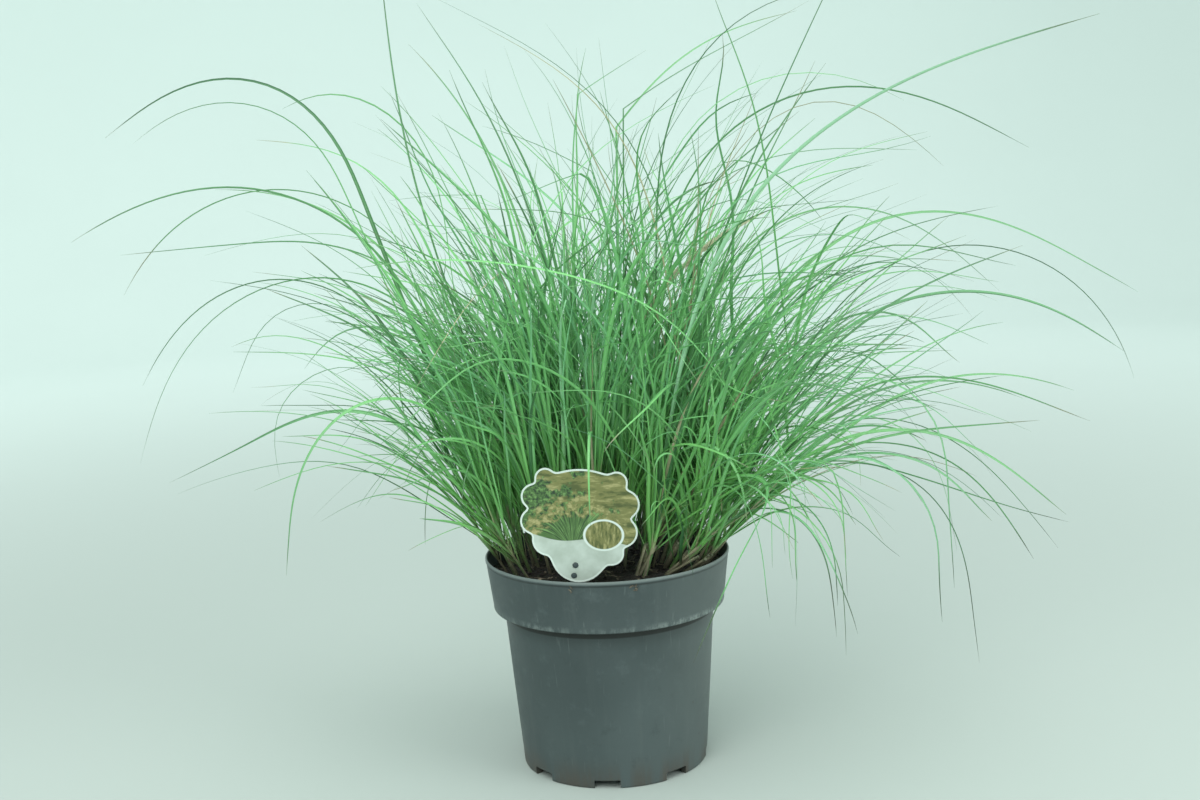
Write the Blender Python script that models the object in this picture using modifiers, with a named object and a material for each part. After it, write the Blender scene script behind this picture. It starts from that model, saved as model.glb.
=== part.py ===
"""Potted miscanthus: a clump of narrow arching blades in a slate grey nursery pot, with a label on a stake.

Metres, +Z up. The origin is the middle of the pot's underside, on the surface that the pot stands on.
The front is -Y. Angles in the lists of blades are degrees: azimuth turns anticlockwise from +X as seen from
above, and lean is measured from upright.
"""

import math
import random
from collections import namedtuple

import bmesh
import bpy
from mathutils import Matrix, Vector

SEED = 7
GAP = 0.0003  # air between pieces that touch
ROUND_STEPS = 36  # sides of the pot and of the soil in it
MERGE = 0.000006  # points nearer than this become one

# Pot
POT_HEIGHT = 0.185
RIM_RADIUS = 0.1055
LIP = 0.0008  # rounding of the rim's edge
COLLAR_DEPTH = 0.045
COLLAR_FOOT_RADIUS = 0.1002
COLLAR_EDGE = 0.0012
NECK_RADIUS = 0.0912  # wall just under the collar
BASE_RADIUS = 0.0805
BASE_EDGE = 0.0015
WALL = 0.0018
FOOT_RING_WIDTH = 0.006
PAD_RADIUS = 0.030  # flat middle of the underside
FLOOR_RISE = 0.003  # height of the floor's underside between the pad and the foot ring
FLOOR_TOP = 0.0048
NOTCHES = 8
NOTCH_START = -51.0
NOTCH_WIDTH = 0.022
NOTCH_HEIGHT = 0.0075  # past the floor's top, so a notch drains the inside
DRAIN_HOLES = 6
DRAIN_CIRCLE = 0.052
DRAIN_RADIUS = 0.006
DRAIN_SIDES = 6

# Soil
SOIL_TOP = 0.170
SOIL_MARGIN = 0.012  # width of the uneven band round the edge of the soil
SOIL_LUMP = 0.0030  # how far that band goes up and down
PLANT_DEPTH = 0.009  # how deep a shoot stands in the soil

# Label: a card with a scalloped edge. Its outline runs from cusp to cusp, and each scallop is an arc that
# stands out from the line between two cusps by the third number.
CARD_THICKNESS = 0.0010
CARD_PLACE = (-0.0235, -0.0770, 0.1775)  # lowest point of the card
CARD_TILT = 4.0
CARD_TURN = -3.5
CARD_CUSPS = (
    (0.0216, 0.0157, 0.0068),
    (0.0352, 0.0296, 0.0093),
    (0.0403, 0.0538, 0.0098),
    (0.0367, 0.0779, 0.0088),
    (0.0216, 0.0896, 0.0043),
    (-0.0216, 0.0903, 0.0088),
    (-0.0374, 0.0820, 0.0093),
    (-0.0425, 0.0611, 0.0088),
    (-0.0389, 0.0398, 0.0062),
    (-0.0244, 0.0223, 0.0186),
)
SCALLOP_STEPS = 4
PEG_HEIGHTS = (0.0062, 0.0148)
PEG_OFFSETS = (-0.0046, -0.0036)
PEG_RADIUS = 0.0022
PEG_HEAD = 0.0006  # how far a peg stands out in front of the card
STAKE_WIDTH = 0.009
STAKE_THICKNESS = 0.0014
STAKE_TOP = 0.022
STAKE_DEPTH = 0.062
STAKE_FOOT_SHARE = 0.35  # width of the stake's foot, as a share of its full width
PEG_SIDES = 8

# Blades: a three-sided section, flat on its upper face with a keel below, like a folded grass blade.
BLADE_HALF_WIDTH = 0.0023
BLADE_KEEL = 0.0014
SHEATH_SCALE = 1.5
SHEATH_TOP_SCALE = 1.15
FOOT_SCALE = 0.60
TIP_SCALE = 0.14
SHEATH = 0.055  # length of the sheath above the soil
BLADE_FEET = (1.0, 0.72, 0.50, 0.85)  # where the blades leave the sheath, as shares of its length
# Shifts along the sheath and rolls in degrees that are tried in turn for a clean union of a blade with it.
SLIDES_AND_ROLLS = (
    (0.0, 0), (0.0007, 6), (-0.0007, -6), (0.0, 14), (0.0, -14), (0.0013, 22), (-0.0013, -22),
    (0.0, 32), (0.0, -32), (0.0021, 44), (-0.0021, -44),
)
PATH_STEPS = 48
PIECE_TURN = 26.0  # degrees of bend for each straight piece of a blade
STRAIGHT_SHARE = 40.0  # degrees that a blade's length counts for beside its bend
POCKET_SCALE = 1.35  # pocket in the soil, as a multiple of the sheath in it
CLEARANCE = 0.0007  # least air between the edges of two blades
POT_AIR = 0.001  # least air between a blade and the pot's wall
CARD_AIR = 0.003  # least air in front of the card and behind it
CARD_HALF_WIDTH = 0.054  # the card's reach to each side and its lowest and highest points, with some air
CARD_SPAN = (-0.008, 0.101)
TRIES = 80  # blades by rule that are tried before a place stays empty

# One blade: azimuth, lean at its foot, droop added to the lean by its tip, length, and where along it the
# droop happens (middle and half width of the bend, as shares of the length). Curl turns the azimuth with
# the droop, and a kink is a sharp fold.
Blade = namedtuple(
    "Blade",
    "azimuth lean droop length bend spread curl kink kink_at",
    defaults=(0.0, 0.0, 0.6),
)
Shoot = namedtuple("Shoot", "x y azimuth lean blades")

# The shoots whose blades give the clump its outline.
LEADING_SHOOTS = (
    Shoot(-0.085, 0.008, 178, 20, (
        Blade(175, 18, 107, 0.570, 0.74, 0.25),
        Blade(190, 20, 110, 0.525, 0.80, 0.22),
    )),
    Shoot(-0.074, 0.022, 168, 18, (
        Blade(170, 13, 138, 0.555, 0.64, 0.46),
        Blade(165, 8, 84, 0.525, 0.44, 0.32),
    )),
    Shoot(-0.078, -0.020, 195, 22, (
        Blade(195, 14, 106, 0.505, 0.64, 0.42),
        Blade(200, 9, 152, 0.510, 0.57, 0.44),
    )),
    Shoot(-0.087, -0.006, 184, 30, (
        Blade(185, 18, 135, 0.430, 0.64, 0.42),
        Blade(180, 24, 92, 0.335, 0.42, 0.34),
    )),
    Shoot(-0.066, -0.038, 205, 30, (
        Blade(205, 14, 158, 0.340, 0.50, 0.42),
        Blade(200, 42, 36, 0.170, 0.50, 0.50),
        Blade(214, 46, 30, 0.100, 0.50, 0.50),
    )),
    Shoot(-0.060, 0.003, 180, 14, (
        Blade(180, 15, -13, 0.475, 0.70, 0.30),
        Blade(172, 20, 70, 0.430, 0.70, 0.40),
    )),
    Shoot(-0.020, 0.002, 150, 4, (
        Blade(20, 2, 12, 0.420, 0.80, 0.20, 0, 48, 0.84),
        Blade(150, 8, 40, 0.450, 0.70, 0.40),
    )),
    Shoot(0.012, 0.008, 25, 3, (
        Blade(25, 2, 35, 0.530, 0.80, 0.20, 0, 42, 0.60),
        Blade(18, 3, 5, 0.540, 0.80, 0.20, 0, 57, 0.65),
    )),
    Shoot(0.030, 0.000, 0, 8, (
        Blade(0, 5, 114, 0.600, 0.60, 0.36),
        Blade(-8, 15, 12, 0.500, 0.50, 0.50),
    )),
    Shoot(0.034, -0.022, -40, 12, (
        Blade(-40, 14, 65, 0.590, 0.51, 0.42),
        Blade(-22, 12, 163, 0.185, 0.55, 0.45, -40),
    )),
    Shoot(0.063, 0.008, 5, 16, (
        Blade(5, 3, 130, 0.485, 0.56, 0.40),
        Blade(-4, 22, 60, 0.400, 0.60, 0.40),
    )),
    Shoot(0.080, -0.010, -8, 30, (
        Blade(-10, 26, 148, 0.500, 0.67, 0.48),
        Blade(-5, 45, 106, 0.330, 0.50, 0.50),
    )),
    Shoot(0.083, 0.012, 10, 30, (
        Blade(10, 25, 98, 0.470, 0.50, 0.50),
        Blade(10, 50, 60, 0.350, 0.25, 0.25),
        Blade(0, 38, 104, 0.385, 0.45, 0.42),
    )),
    Shoot(0.074, 0.032, 15, 24, (
        Blade(15, 15, 105, 0.590, 0.47, 0.42),
        Blade(28, 24, 80, 0.420, 0.55, 0.40),
    )),
    Shoot(0.055, -0.036, -35, 46, (
        Blade(-32, 50, 125, 0.190, 0.42, 0.40),
        Blade(-25, 37, 146, 0.200, 0.50, 0.45),
    )),
    Shoot(0.074, -0.030, -20, 42, (
        Blade(-20, 46, 128, 0.330, 0.45, 0.42),
        Blade(-12, 40, 90, 0.330, 0.50, 0.45),
    )),
    Shoot(0.030, -0.046, -10, 18, (
        Blade(-15, 55, 95, 0.285, 0.42, 0.38, -145),
    )),
    Shoot(-0.008, -0.026, -92, 8, (
        Blade(-93, 5, 168, 0.180, 0.52, 0.34),
        Blade(-60, 10, 60, 0.380, 0.60, 0.40),
    )),
)

# The rest of the clump, spread over an oval by a sunflower rule.
CLUMP_CENTRE = (0.000, 0.012)
CLUMP_RADII = (0.086, 0.070)
FOUNTAIN_Y = 0.020  # the shoots by rule lean away from this line
CLUMP_PLACES = 64
ROOT_SPACING = 0.0128
FILL_SHOOTS = 34
BLADES_PER_SHOOT = 3
SIDE_BLADES = 2  # blades by rule on each leading shoot that stands near the pot's left or right side
SIDE_PLACE = 0.050
LEFT_SHARE = 0.40  # how far shoots and blades by rule lean to the left, as a share of the other ways
BARE_FRONT = (-0.066, 0.090, -0.028)  # no shoot by rule between these x values in front of this y
MIDDLE_SHARE = 0.45  # shoots nearer the middle than this share of the oval have one blade less
REACH_X = 0.43
REACH_FRONT = 0.36
REACH_BACK = 0.42
REACH_TOP = 0.635
REACH_LOW = 0.120

# Old flowering stalk with a slender plume
STALK_ROOT = (0.004, 0.030)
STALK_AZIMUTH = 8.0
STALK_LEAN = 5.0
STALK_DROOP = 64.0
STALK_LENGTH = 0.358
STALK_HALF_WIDTH = 0.0014
STALK_TIP = 0.0006
STALK_SIDES = 5
PLUME_SHARE = 0.60  # share of the stalk below the plume
PLUME_HALF_WIDTH = 0.0050


def fresh_collection(name):
    """A new collection under the scene's own."""
    made = bpy.data.collections.new(name)
    bpy.context.scene.collection.children.link(made)
    return made


def principled(name, colour, roughness):
    """A plain finish with this colour and roughness."""
    finish = bpy.data.materials.new(name)
    finish.use_nodes = True
    shader = finish.node_tree.nodes["Principled BSDF"]
    shader.inputs["Base Color"].default_value = (*colour, 1.0)
    shader.inputs["Roughness"].default_value = roughness
    return finish


def add_object(name, data, collection, finish=None):
    """An object with this data, linked to the collection, wearing the finish."""
    made = bpy.data.objects.new(name, data)
    collection.objects.link(made)
    if finish is not None:
        data.materials.clear()
        data.materials.append(finish)
    return made


def add_cutter(name, data, collection):
    """A helper that shapes others and isn't part of the plant."""
    made = add_object(name, data, collection)
    made.hide_render = True
    made.display_type = "WIRE"
    return made


def join_flat_faces(shape):
    """Joins the neighbouring faces that lie in one plane."""
    bmesh.ops.dissolve_limit(
        shape, angle_limit=math.radians(0.5), verts=shape.verts, edges=shape.edges,
    )


def evaluated_mesh(obj, name):
    """The object's mesh as triangles, modifiers applied, doubles merged and faces outward."""
    bpy.context.view_layer.update()
    graph = bpy.context.evaluated_depsgraph_get()
    mesh = bpy.data.meshes.new_from_object(obj.evaluated_get(graph))
    mesh.name = name
    shape = bmesh.new()
    shape.from_mesh(mesh)
    bmesh.ops.remove_doubles(shape, verts=shape.verts, dist=MERGE)
    join_flat_faces(shape)
    bmesh.ops.triangulate(shape, faces=shape.faces)
    bmesh.ops.recalc_face_normals(shape, faces=shape.faces)
    shape.to_mesh(mesh)
    shape.free()
    return mesh


def boolean(obj, other, operation):
    """Adds or cuts another object."""
    step = obj.modifiers.new(operation.lower(), "BOOLEAN")
    step.operation = operation
    step.solver = "EXACT"
    step.object = other
    return step


def turned(name, profile, collection, finish):
    """A shape turned about Z from a half section that ends on the axis at both ends."""
    mesh = bpy.data.meshes.new(name)
    edges = [(i, i + 1) for i in range(len(profile) - 1)]
    mesh.from_pydata([(radius, 0.0, height) for radius, height in profile], edges, [])
    made = add_object(name, mesh, collection, finish)
    screw = made.modifiers.new("turn", "SCREW")
    screw.steps = ROUND_STEPS
    screw.render_steps = ROUND_STEPS
    screw.use_merge_vertices = True
    screw.merge_threshold = 0.00005
    return made


def spokes(count, start=0.0):
    """Angles in radians, evenly spaced round a circle from a start in degrees."""
    return [math.radians(start + 360.0 * i / count) for i in range(count)]


def pot_profile():
    """The pot's half section, from the middle of its floor up the inside and down the outside."""
    ledge = POT_HEIGHT - COLLAR_DEPTH
    inner_rim = RIM_RADIUS - WALL
    return [
        (0.0, FLOOR_TOP),
        (BASE_RADIUS - WALL, FLOOR_TOP),
        (NECK_RADIUS - WALL, ledge + WALL),
        (COLLAR_FOOT_RADIUS - WALL, ledge + WALL),
        (inner_rim, POT_HEIGHT - LIP),
        (inner_rim + LIP, POT_HEIGHT),
        (RIM_RADIUS - LIP, POT_HEIGHT),
        (RIM_RADIUS, POT_HEIGHT - LIP),
        (COLLAR_FOOT_RADIUS, ledge + COLLAR_EDGE),
        (COLLAR_FOOT_RADIUS - COLLAR_EDGE, ledge),
        (NECK_RADIUS, ledge),
        (BASE_RADIUS, BASE_EDGE),
        (BASE_RADIUS - BASE_EDGE, 0.0),
        (BASE_RADIUS - FOOT_RING_WIDTH, 0.0),
        (BASE_RADIUS - FOOT_RING_WIDTH - FLOOR_RISE / 2, FLOOR_RISE),
        (PAD_RADIUS + FLOOR_RISE / 2, FLOOR_RISE),
        (PAD_RADIUS, 0.0),
        (0.0, 0.0),
    ]


def drain_cutter(collection):
    """Notches in the foot of the wall and holes in the floor, as one cutter."""
    shape = bmesh.new()
    for angle in spokes(NOTCHES, NOTCH_START):
        size = Matrix.Diagonal((3 * FOOT_RING_WIDTH, NOTCH_WIDTH, 2 * NOTCH_HEIGHT, 1.0))
        place = Matrix.Rotation(angle, 4, "Z") @ Matrix.Translation((BASE_RADIUS, 0.0, 0.0))
        bmesh.ops.create_cube(shape, size=1.0, matrix=place @ size)
    for angle in spokes(DRAIN_HOLES):
        centre = (DRAIN_CIRCLE * math.cos(angle), DRAIN_CIRCLE * math.sin(angle), FLOOR_TOP / 2)
        bmesh.ops.create_cone(
            shape, cap_ends=True, segments=DRAIN_SIDES, radius1=DRAIN_RADIUS, radius2=DRAIN_RADIUS,
            depth=3 * FLOOR_TOP, matrix=Matrix.Translation(centre),
        )
    mesh = bpy.data.meshes.new("drain_cutter")
    shape.to_mesh(mesh)
    shape.free()
    return add_cutter("drain_cutter", mesh, collection)


def build_pot(parts, helpers):
    """The nursery pot, with its collar, foot ring and drains."""
    finish = principled("pot_plastic", (0.115, 0.150, 0.158), 0.55)
    pot = turned("pot", pot_profile(), parts, finish)
    boolean(pot, drain_cutter(helpers), "DIFFERENCE")
    pot.data.shade_smooth()
    return pot


def soil_profile():
    """The soil's half section, a gap inside the pot's, from the middle of its top down to the floor."""
    ledge = POT_HEIGHT - COLLAR_DEPTH + WALL + GAP
    share = (SOIL_TOP - ledge) / (POT_HEIGHT - LIP - ledge)
    foot = COLLAR_FOOT_RADIUS - WALL
    top_radius = foot + share * (RIM_RADIUS - WALL - foot) - 2 * GAP
    return [
        (0.0, SOIL_TOP),
        (top_radius - SOIL_MARGIN, SOIL_TOP),
        (top_radius, SOIL_TOP - SOIL_LUMP / 2),
        (foot - 2 * GAP, ledge),
        (NECK_RADIUS - WALL - 2 * GAP, ledge),
        (BASE_RADIUS - WALL - 2 * GAP, FLOOR_TOP + GAP),
        (0.0, FLOOR_TOP + GAP),
    ]


def pocket_cutter(shoots, profile, helpers):
    """One straight pocket for each shoot and one for the flowering stalk, as one cutter."""
    shape = bmesh.new()
    holders = [(shoot, SHEATH_SCALE * POCKET_SCALE, profile) for shoot in shoots]
    holders.append((stalk_shoot(), STALK_HALF_WIDTH + 2 * GAP, helpers.objects["stalk_section"]))
    for shoot, scale, section in holders:
        root, way = root_and_way(shoot)
        ends = [root - way * (PLANT_DEPTH + GAP), root + way * (2 * PLANT_DEPTH)]
        tilts = [tilt_towards(way, shoot.blades[0].azimuth)] * 2
        mesh = tube_mesh("pocket", ends, [scale] * 2, section, helpers, tilts)
        shape.from_mesh(mesh)
        bpy.data.meshes.remove(mesh)
    mesh = bpy.data.meshes.new("pocket_cutter")
    shape.to_mesh(mesh)
    shape.free()
    return add_cutter("pocket_cutter", mesh, helpers)


def build_soil(shoots, profile, parts, helpers):
    """The block of compost, lumpy on top, with a pocket for each shoot and a slot for the label's stake."""
    finish = principled("soil", (0.020, 0.016, 0.012), 0.95)
    plain = turned("soil_plain", soil_profile(), helpers, finish)
    mesh = evaluated_mesh(plain, "soil")
    bpy.data.objects.remove(plain)
    rng = random.Random(SEED)
    for vertex in mesh.vertices:
        if SOIL_TOP - SOIL_LUMP < vertex.co.z < SOIL_TOP - SOIL_LUMP / 4:
            vertex.co.z += rng.uniform(-SOIL_LUMP, SOIL_LUMP)
    soil = add_object("soil", mesh, parts, finish)
    boolean(soil, pocket_cutter(shoots, profile, helpers), "DIFFERENCE")
    boolean(soil, stake_slot(helpers), "DIFFERENCE")
    return soil


def arc_points(start, end, bulge, steps):
    """Points from start towards end on an arc that stands out to the right of the way there by bulge."""
    chord = Vector(end) - Vector(start)
    half = chord.length / 2
    radius = (half * half + bulge * bulge) / (2 * bulge)
    along = chord.normalized()
    outward = Vector((along.y, -along.x))
    centre = Vector(start) + chord / 2 - outward * (radius - bulge)
    first = Vector(start) - centre
    sweep = 2 * math.asin(min(1.0, half / radius))
    if bulge > half:
        sweep = 2 * math.pi - sweep
    points = []
    for step in range(steps):
        turned_by = Matrix.Rotation(sweep * step / steps, 2)
        points.append(centre + turned_by @ first)
    return points


def card_outline():
    """The card's scalloped edge in its own plane, anticlockwise, with the lowest point at 0, 0."""
    points = []
    for index, (x, height, bulge) in enumerate(CARD_CUSPS):
        following = CARD_CUSPS[(index + 1) % len(CARD_CUSPS)]
        steps = SCALLOP_STEPS if bulge < 0.015 else 2 * SCALLOP_STEPS
        points += arc_points((x, height), following[:2], bulge, steps)
    return points


def card_frame():
    """From the card's plane (x across, y up, z towards the front) to its place in the pot."""
    stand = Matrix.Rotation(math.radians(90.0 - CARD_TILT), 4, "X")
    turn = Matrix.Rotation(math.radians(CARD_TURN), 4, "Z")
    return Matrix.Translation(CARD_PLACE) @ stand @ turn


def round_pegs(radius, low, high):
    """Two round pegs across the card's plane, as one mesh shape."""
    shape = bmesh.new()
    for x, height in zip(PEG_OFFSETS, PEG_HEIGHTS):
        bmesh.ops.create_cone(
            shape, cap_ends=True, segments=PEG_SIDES, radius1=radius, radius2=radius,
            depth=high - low, matrix=Matrix.Translation((x, height, (low + high) / 2)),
        )
    return shape


def build_card(parts, helpers):
    """The flat card, with a hole for each peg."""
    finish = principled("label_card", (0.62, 0.66, 0.58), 0.35)
    curve = bpy.data.curves.new("label_card", "CURVE")
    curve.dimensions = "2D"
    curve.fill_mode = "BOTH"
    curve.extrude = CARD_THICKNESS / 2
    outline = card_outline()
    spline = curve.splines.new("POLY")
    spline.points.add(len(outline) - 1)
    for point, place in zip(spline.points, outline):
        point.co = (place.x, place.y, 0.0, 1.0)
    spline.use_cyclic_u = True
    flat = add_object("label_flat", curve, helpers)
    mesh = evaluated_mesh(flat, "label_card")
    bpy.data.objects.remove(flat)
    card = add_object("label_card", mesh, parts, finish)
    card.matrix_world = card_frame()
    holes = bpy.data.meshes.new("card_holes")
    shape = round_pegs(PEG_RADIUS + GAP, -2 * CARD_THICKNESS, 2 * CARD_THICKNESS)
    shape.to_mesh(holes)
    shape.free()
    cutter = add_cutter("card_holes", holes, helpers)
    cutter.matrix_world = card_frame()
    boolean(card, cutter, "DIFFERENCE")
    return card


def stake_shape(grow):
    """The flat pointed stake behind the card, made larger all round by grow."""
    centre = sum(PEG_OFFSETS) / 2
    width = STAKE_WIDTH + 2 * grow
    thick = STAKE_THICKNESS + 2 * grow
    back = -CARD_THICKNESS / 2 - GAP - STAKE_THICKNESS / 2
    low = -(STAKE_DEPTH + grow)
    high = STAKE_TOP + grow
    middle = (low + high) / 2
    shape = bmesh.new()
    size = Matrix.Diagonal((width, high - low, thick, 1.0))
    place = Matrix.Translation((centre, middle, back))
    made = bmesh.ops.create_cube(shape, size=1.0, matrix=place @ size)
    foot = [vertex for vertex in made["verts"] if vertex.co.y < middle]
    for vertex in foot:
        vertex.co.x = centre + STAKE_FOOT_SHARE * (vertex.co.x - centre)
    return shape


def stake_slot(helpers):
    """The slot that the stake stands in."""
    mesh = bpy.data.meshes.new("stake_slot")
    shape = stake_shape(GAP)
    shape.to_mesh(mesh)
    shape.free()
    slot = add_cutter("stake_slot", mesh, helpers)
    slot.matrix_world = card_frame()
    return slot


def build_stake(parts, helpers):
    """The stake, with the two pegs that hold the card."""
    finish = principled("label_stake", (0.055, 0.075, 0.080), 0.45)
    mesh = bpy.data.meshes.new("label_stake")
    shape = stake_shape(0.0)
    shape.to_mesh(mesh)
    shape.free()
    stake = add_object("label_stake", mesh, parts, finish)
    stake.matrix_world = card_frame()
    pegs = bpy.data.meshes.new("stake_pegs")
    front = CARD_THICKNESS / 2 + PEG_HEAD
    shape = round_pegs(PEG_RADIUS, -CARD_THICKNESS / 2 - STAKE_THICKNESS, front)
    shape.to_mesh(pegs)
    shape.free()
    helper = add_cutter("stake_pegs", pegs, helpers)
    helper.matrix_world = card_frame()
    boolean(stake, helper, "UNION")
    return stake


def ease(share):
    """A smooth step from 0 to 1."""
    held = min(max(share, 0.0), 1.0)
    return held * held * (3.0 - 2.0 * held)


def direction(azimuth, lean):
    """The way that this azimuth and lean point, as a unit vector."""
    around = math.radians(azimuth)
    tip = math.radians(lean)
    return Vector((math.sin(tip) * math.cos(around), math.sin(tip) * math.sin(around), math.cos(tip)))


def blade_turns(blade):
    """The azimuth and the lean of each short step along a blade."""
    turns = []
    for index in range(PATH_STEPS):
        share = (index + 0.5) / PATH_STEPS
        bent = ease((share - blade.bend) / (2 * blade.spread) + 0.5)
        lean = blade.lean + blade.droop * bent + (blade.kink if share > blade.kink_at else 0.0)
        turns.append((blade.azimuth + blade.curl * bent, max(1.0, min(lean, 178.0))))
    return turns


def blade_path(start, blade):
    """Points along the middle of a blade, from its foot to its tip."""
    points = [start.copy()]
    step = blade.length / PATH_STEPS
    for azimuth, lean in blade_turns(blade):
        points.append(points[-1] + direction(azimuth, lean) * step)
    return points


def faceted(start, blade):
    """A few points of a blade's path, closest where it bends most, with where each lies along it."""
    turns = blade_turns(blade)
    reached = [0.0]
    for (azimuth, lean), (next_azimuth, next_lean) in zip(turns, turns[1:] + turns[-1:]):
        turn = abs(next_lean - lean) + abs(next_azimuth - azimuth)
        reached.append(reached[-1] + turn + STRAIGHT_SHARE / PATH_STEPS)
    pieces = max(3, round(reached[-1] / PIECE_TURN))
    path = blade_path(start, blade)
    chosen = sorted({
        min(range(PATH_STEPS + 1), key=lambda i: abs(reached[i] - reached[-1] * piece / pieces))
        for piece in range(pieces + 1)
    })
    return [(path[index], index / PATH_STEPS) for index in chosen]


def root_and_way(shoot):
    """Where a shoot leaves the soil, and the way its sheath points."""
    return Vector((shoot.x, shoot.y, SOIL_TOP)), direction(shoot.azimuth, shoot.lean)


def blade_scale(share):
    """A blade's width along its length, as a share of its full width."""
    if share < 0.12:
        return FOOT_SCALE + (1.0 - FOOT_SCALE) * share / 0.12
    if share < 0.55:
        return 1.0
    return 1.0 - (1.0 - TIP_SCALE) * ((share - 0.55) / 0.45) ** 1.3


def section_curve(name, corners, helpers):
    """A closed flat outline to sweep along a line."""
    curve = bpy.data.curves.new(name, "CURVE")
    curve.dimensions = "2D"
    spline = curve.splines.new("POLY")
    spline.points.add(len(corners) - 1)
    for point, (x, y) in zip(spline.points, corners):
        point.co = (x, y, 0.0, 1.0)
    spline.use_cyclic_u = True
    return add_cutter(name, curve, helpers)


def blade_profile(helpers):
    """The three-sided section that every blade is swept from, about its own middle."""
    corners = (
        (-BLADE_HALF_WIDTH, BLADE_KEEL / 3),
        (0.0, -2 * BLADE_KEEL / 3),
        (BLADE_HALF_WIDTH, BLADE_KEEL / 3),
    )
    return section_curve("blade_section", corners, helpers)


def tilt_towards(tangent, azimuth):
    """The tilt in radians that sets a section's sides square to the azimuth, about this tangent."""
    level = Vector((-tangent.y, tangent.x, 0.0)).normalized()
    side = direction(azimuth + 90.0, 90.0)
    side = (side - tangent * side.dot(tangent)).normalized()
    return math.atan2(level.cross(side).dot(tangent), level.dot(side))


def sheath_tilts(points, azimuth):
    """Tilts for a sheath and the blade that it runs on into, so that the section doesn't twist."""
    along = (points[1] - points[0]).normalized()
    onward = (points[2] - points[1]).normalized()
    bent = (along + onward).normalized()
    return [tilt_towards(along, azimuth), tilt_towards(bent, azimuth)] + [0.0] * (len(points) - 2)


def tube_mesh(name, points, scales, profile, helpers, tilts=None):
    """A closed mesh swept from the profile through the points, tilted about them by radians."""
    curve = bpy.data.curves.new(name, "CURVE")
    curve.dimensions = "3D"
    curve.twist_mode = "Z_UP"
    curve.bevel_mode = "OBJECT"
    curve.bevel_object = profile
    curve.use_fill_caps = True
    spline = curve.splines.new("POLY")
    spline.points.add(len(points) - 1)
    tilts = tilts or [0.0] * len(points)
    for point, place, scale, tilt in zip(spline.points, points, scales, tilts):
        point.co = (*place, 1.0)
        point.radius = scale
        point.tilt = tilt
    guide = add_object(name, curve, helpers)
    mesh = evaluated_mesh(guide, name)
    bpy.data.objects.remove(guide)
    bpy.data.curves.remove(curve)
    return mesh


class Room:
    """Keeps blades of different shoots apart, on a grid of the places that are taken."""

    CELL = 0.008
    SPACING = 0.003

    def __init__(self):
        self.taken = {}

    def samples(self, points, widths):
        """Places along a line of points, with the half width there."""
        for (start, end), (low, high) in zip(zip(points, points[1:]), zip(widths, widths[1:])):
            count = max(1, round((end - start).length / self.SPACING))
            for index in range(count):
                share = index / count
                yield start.lerp(end, share), low + (high - low) * share

    def cell(self, place):
        return tuple(int(math.floor(value / self.CELL)) for value in place)

    def is_free(self, owner, points, widths):
        """Whether a line of points stays clear of the other shoots, the pot, the label and the limits."""
        for place, width in self.samples(points, widths):
            if not clear_of_holders(place, width):
                return False
            column, row, level = self.cell(place)
            for step in range(27):
                key = (column + step % 3 - 1, row + step // 3 % 3 - 1, level + step // 9 - 1)
                for other, there, size in self.taken.get(key, ()):
                    near = width + size + CLEARANCE
                    if other != owner and (there - place).length_squared < near * near:
                        return False
        return True

    def take(self, owner, points, widths):
        """Marks a line of points as taken."""
        for place, width in self.samples(points, widths):
            self.taken.setdefault(self.cell(place), []).append((owner, place, width))


def clear_of_holders(place, width):
    """Whether a blade of this half width may pass here, clear of the pot, the soil and the label."""
    air = width + POT_AIR
    radius = math.hypot(place.x, place.y)
    if place.z < SOIL_TOP + SOIL_LUMP + width and radius < RIM_RADIUS + air:
        return False
    if place.z < POT_HEIGHT + width and RIM_RADIUS - WALL - air < radius < RIM_RADIUS + air:
        return False
    local = card_frame().inverted() @ place
    low, high = CARD_SPAN
    beside = abs(local.x) < CARD_HALF_WIDTH + width and low < local.y < high
    return not (beside and abs(local.z + STAKE_THICKNESS / 2) < CARD_AIR + width)


def within_reach(points):
    """Whether a blade of the filling stays inside the outline that the leading shoots give."""
    return all(
        abs(place.x) < REACH_X and -REACH_FRONT < place.y < REACH_BACK
        and REACH_LOW < place.z < REACH_TOP
        for place in points
    )


def foot_of(shoot, index):
    """Where blade number index leaves the sheath."""
    root, way = root_and_way(shoot)
    return root + way * SHEATH * BLADE_FEET[index % len(BLADE_FEET)]


def nudged(blade, turn, tilt):
    """The same blade, turned and tilted a little."""
    return blade._replace(azimuth=blade.azimuth + turn, lean=blade.lean + tilt)


def settle(room, owner, shoot, index, choices, checks_reach):
    """The first of the choices that has room, marked as taken, or None."""
    foot = foot_of(shoot, index)
    for blade in choices:
        line = faceted(foot, blade)
        points = [place for place, _ in line]
        widths = [BLADE_HALF_WIDTH * blade_scale(share) for _, share in line]
        if checks_reach and not within_reach(points):
            continue
        if room.is_free(owner, points, widths):
            room.take(owner, points, widths)
            return blade
    return None


def nudges(blade):
    """The blade, then ever larger turns and tilts of it."""
    yield blade
    for size in range(1, 7):
        for turn, tilt in ((2, 0), (-2, 0), (0, 1), (0, -1), (2, 1), (-2, -1)):
            yield nudged(blade, turn * size, tilt * size)


def settle_leading(room):
    """The leading shoots, each blade nudged until it has room."""
    settled = []
    for owner, shoot in enumerate(LEADING_SHOOTS):
        take_sheath(room, owner, shoot)
    for owner, shoot in enumerate(LEADING_SHOOTS):
        blades = []
        for index, blade in enumerate(shoot.blades):
            placed = settle(room, owner, shoot, index, nudges(blade), False)
            if placed is not None:
                blades.append(placed)
        settled.append(shoot._replace(blades=tuple(blades)))
    return settled


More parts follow.
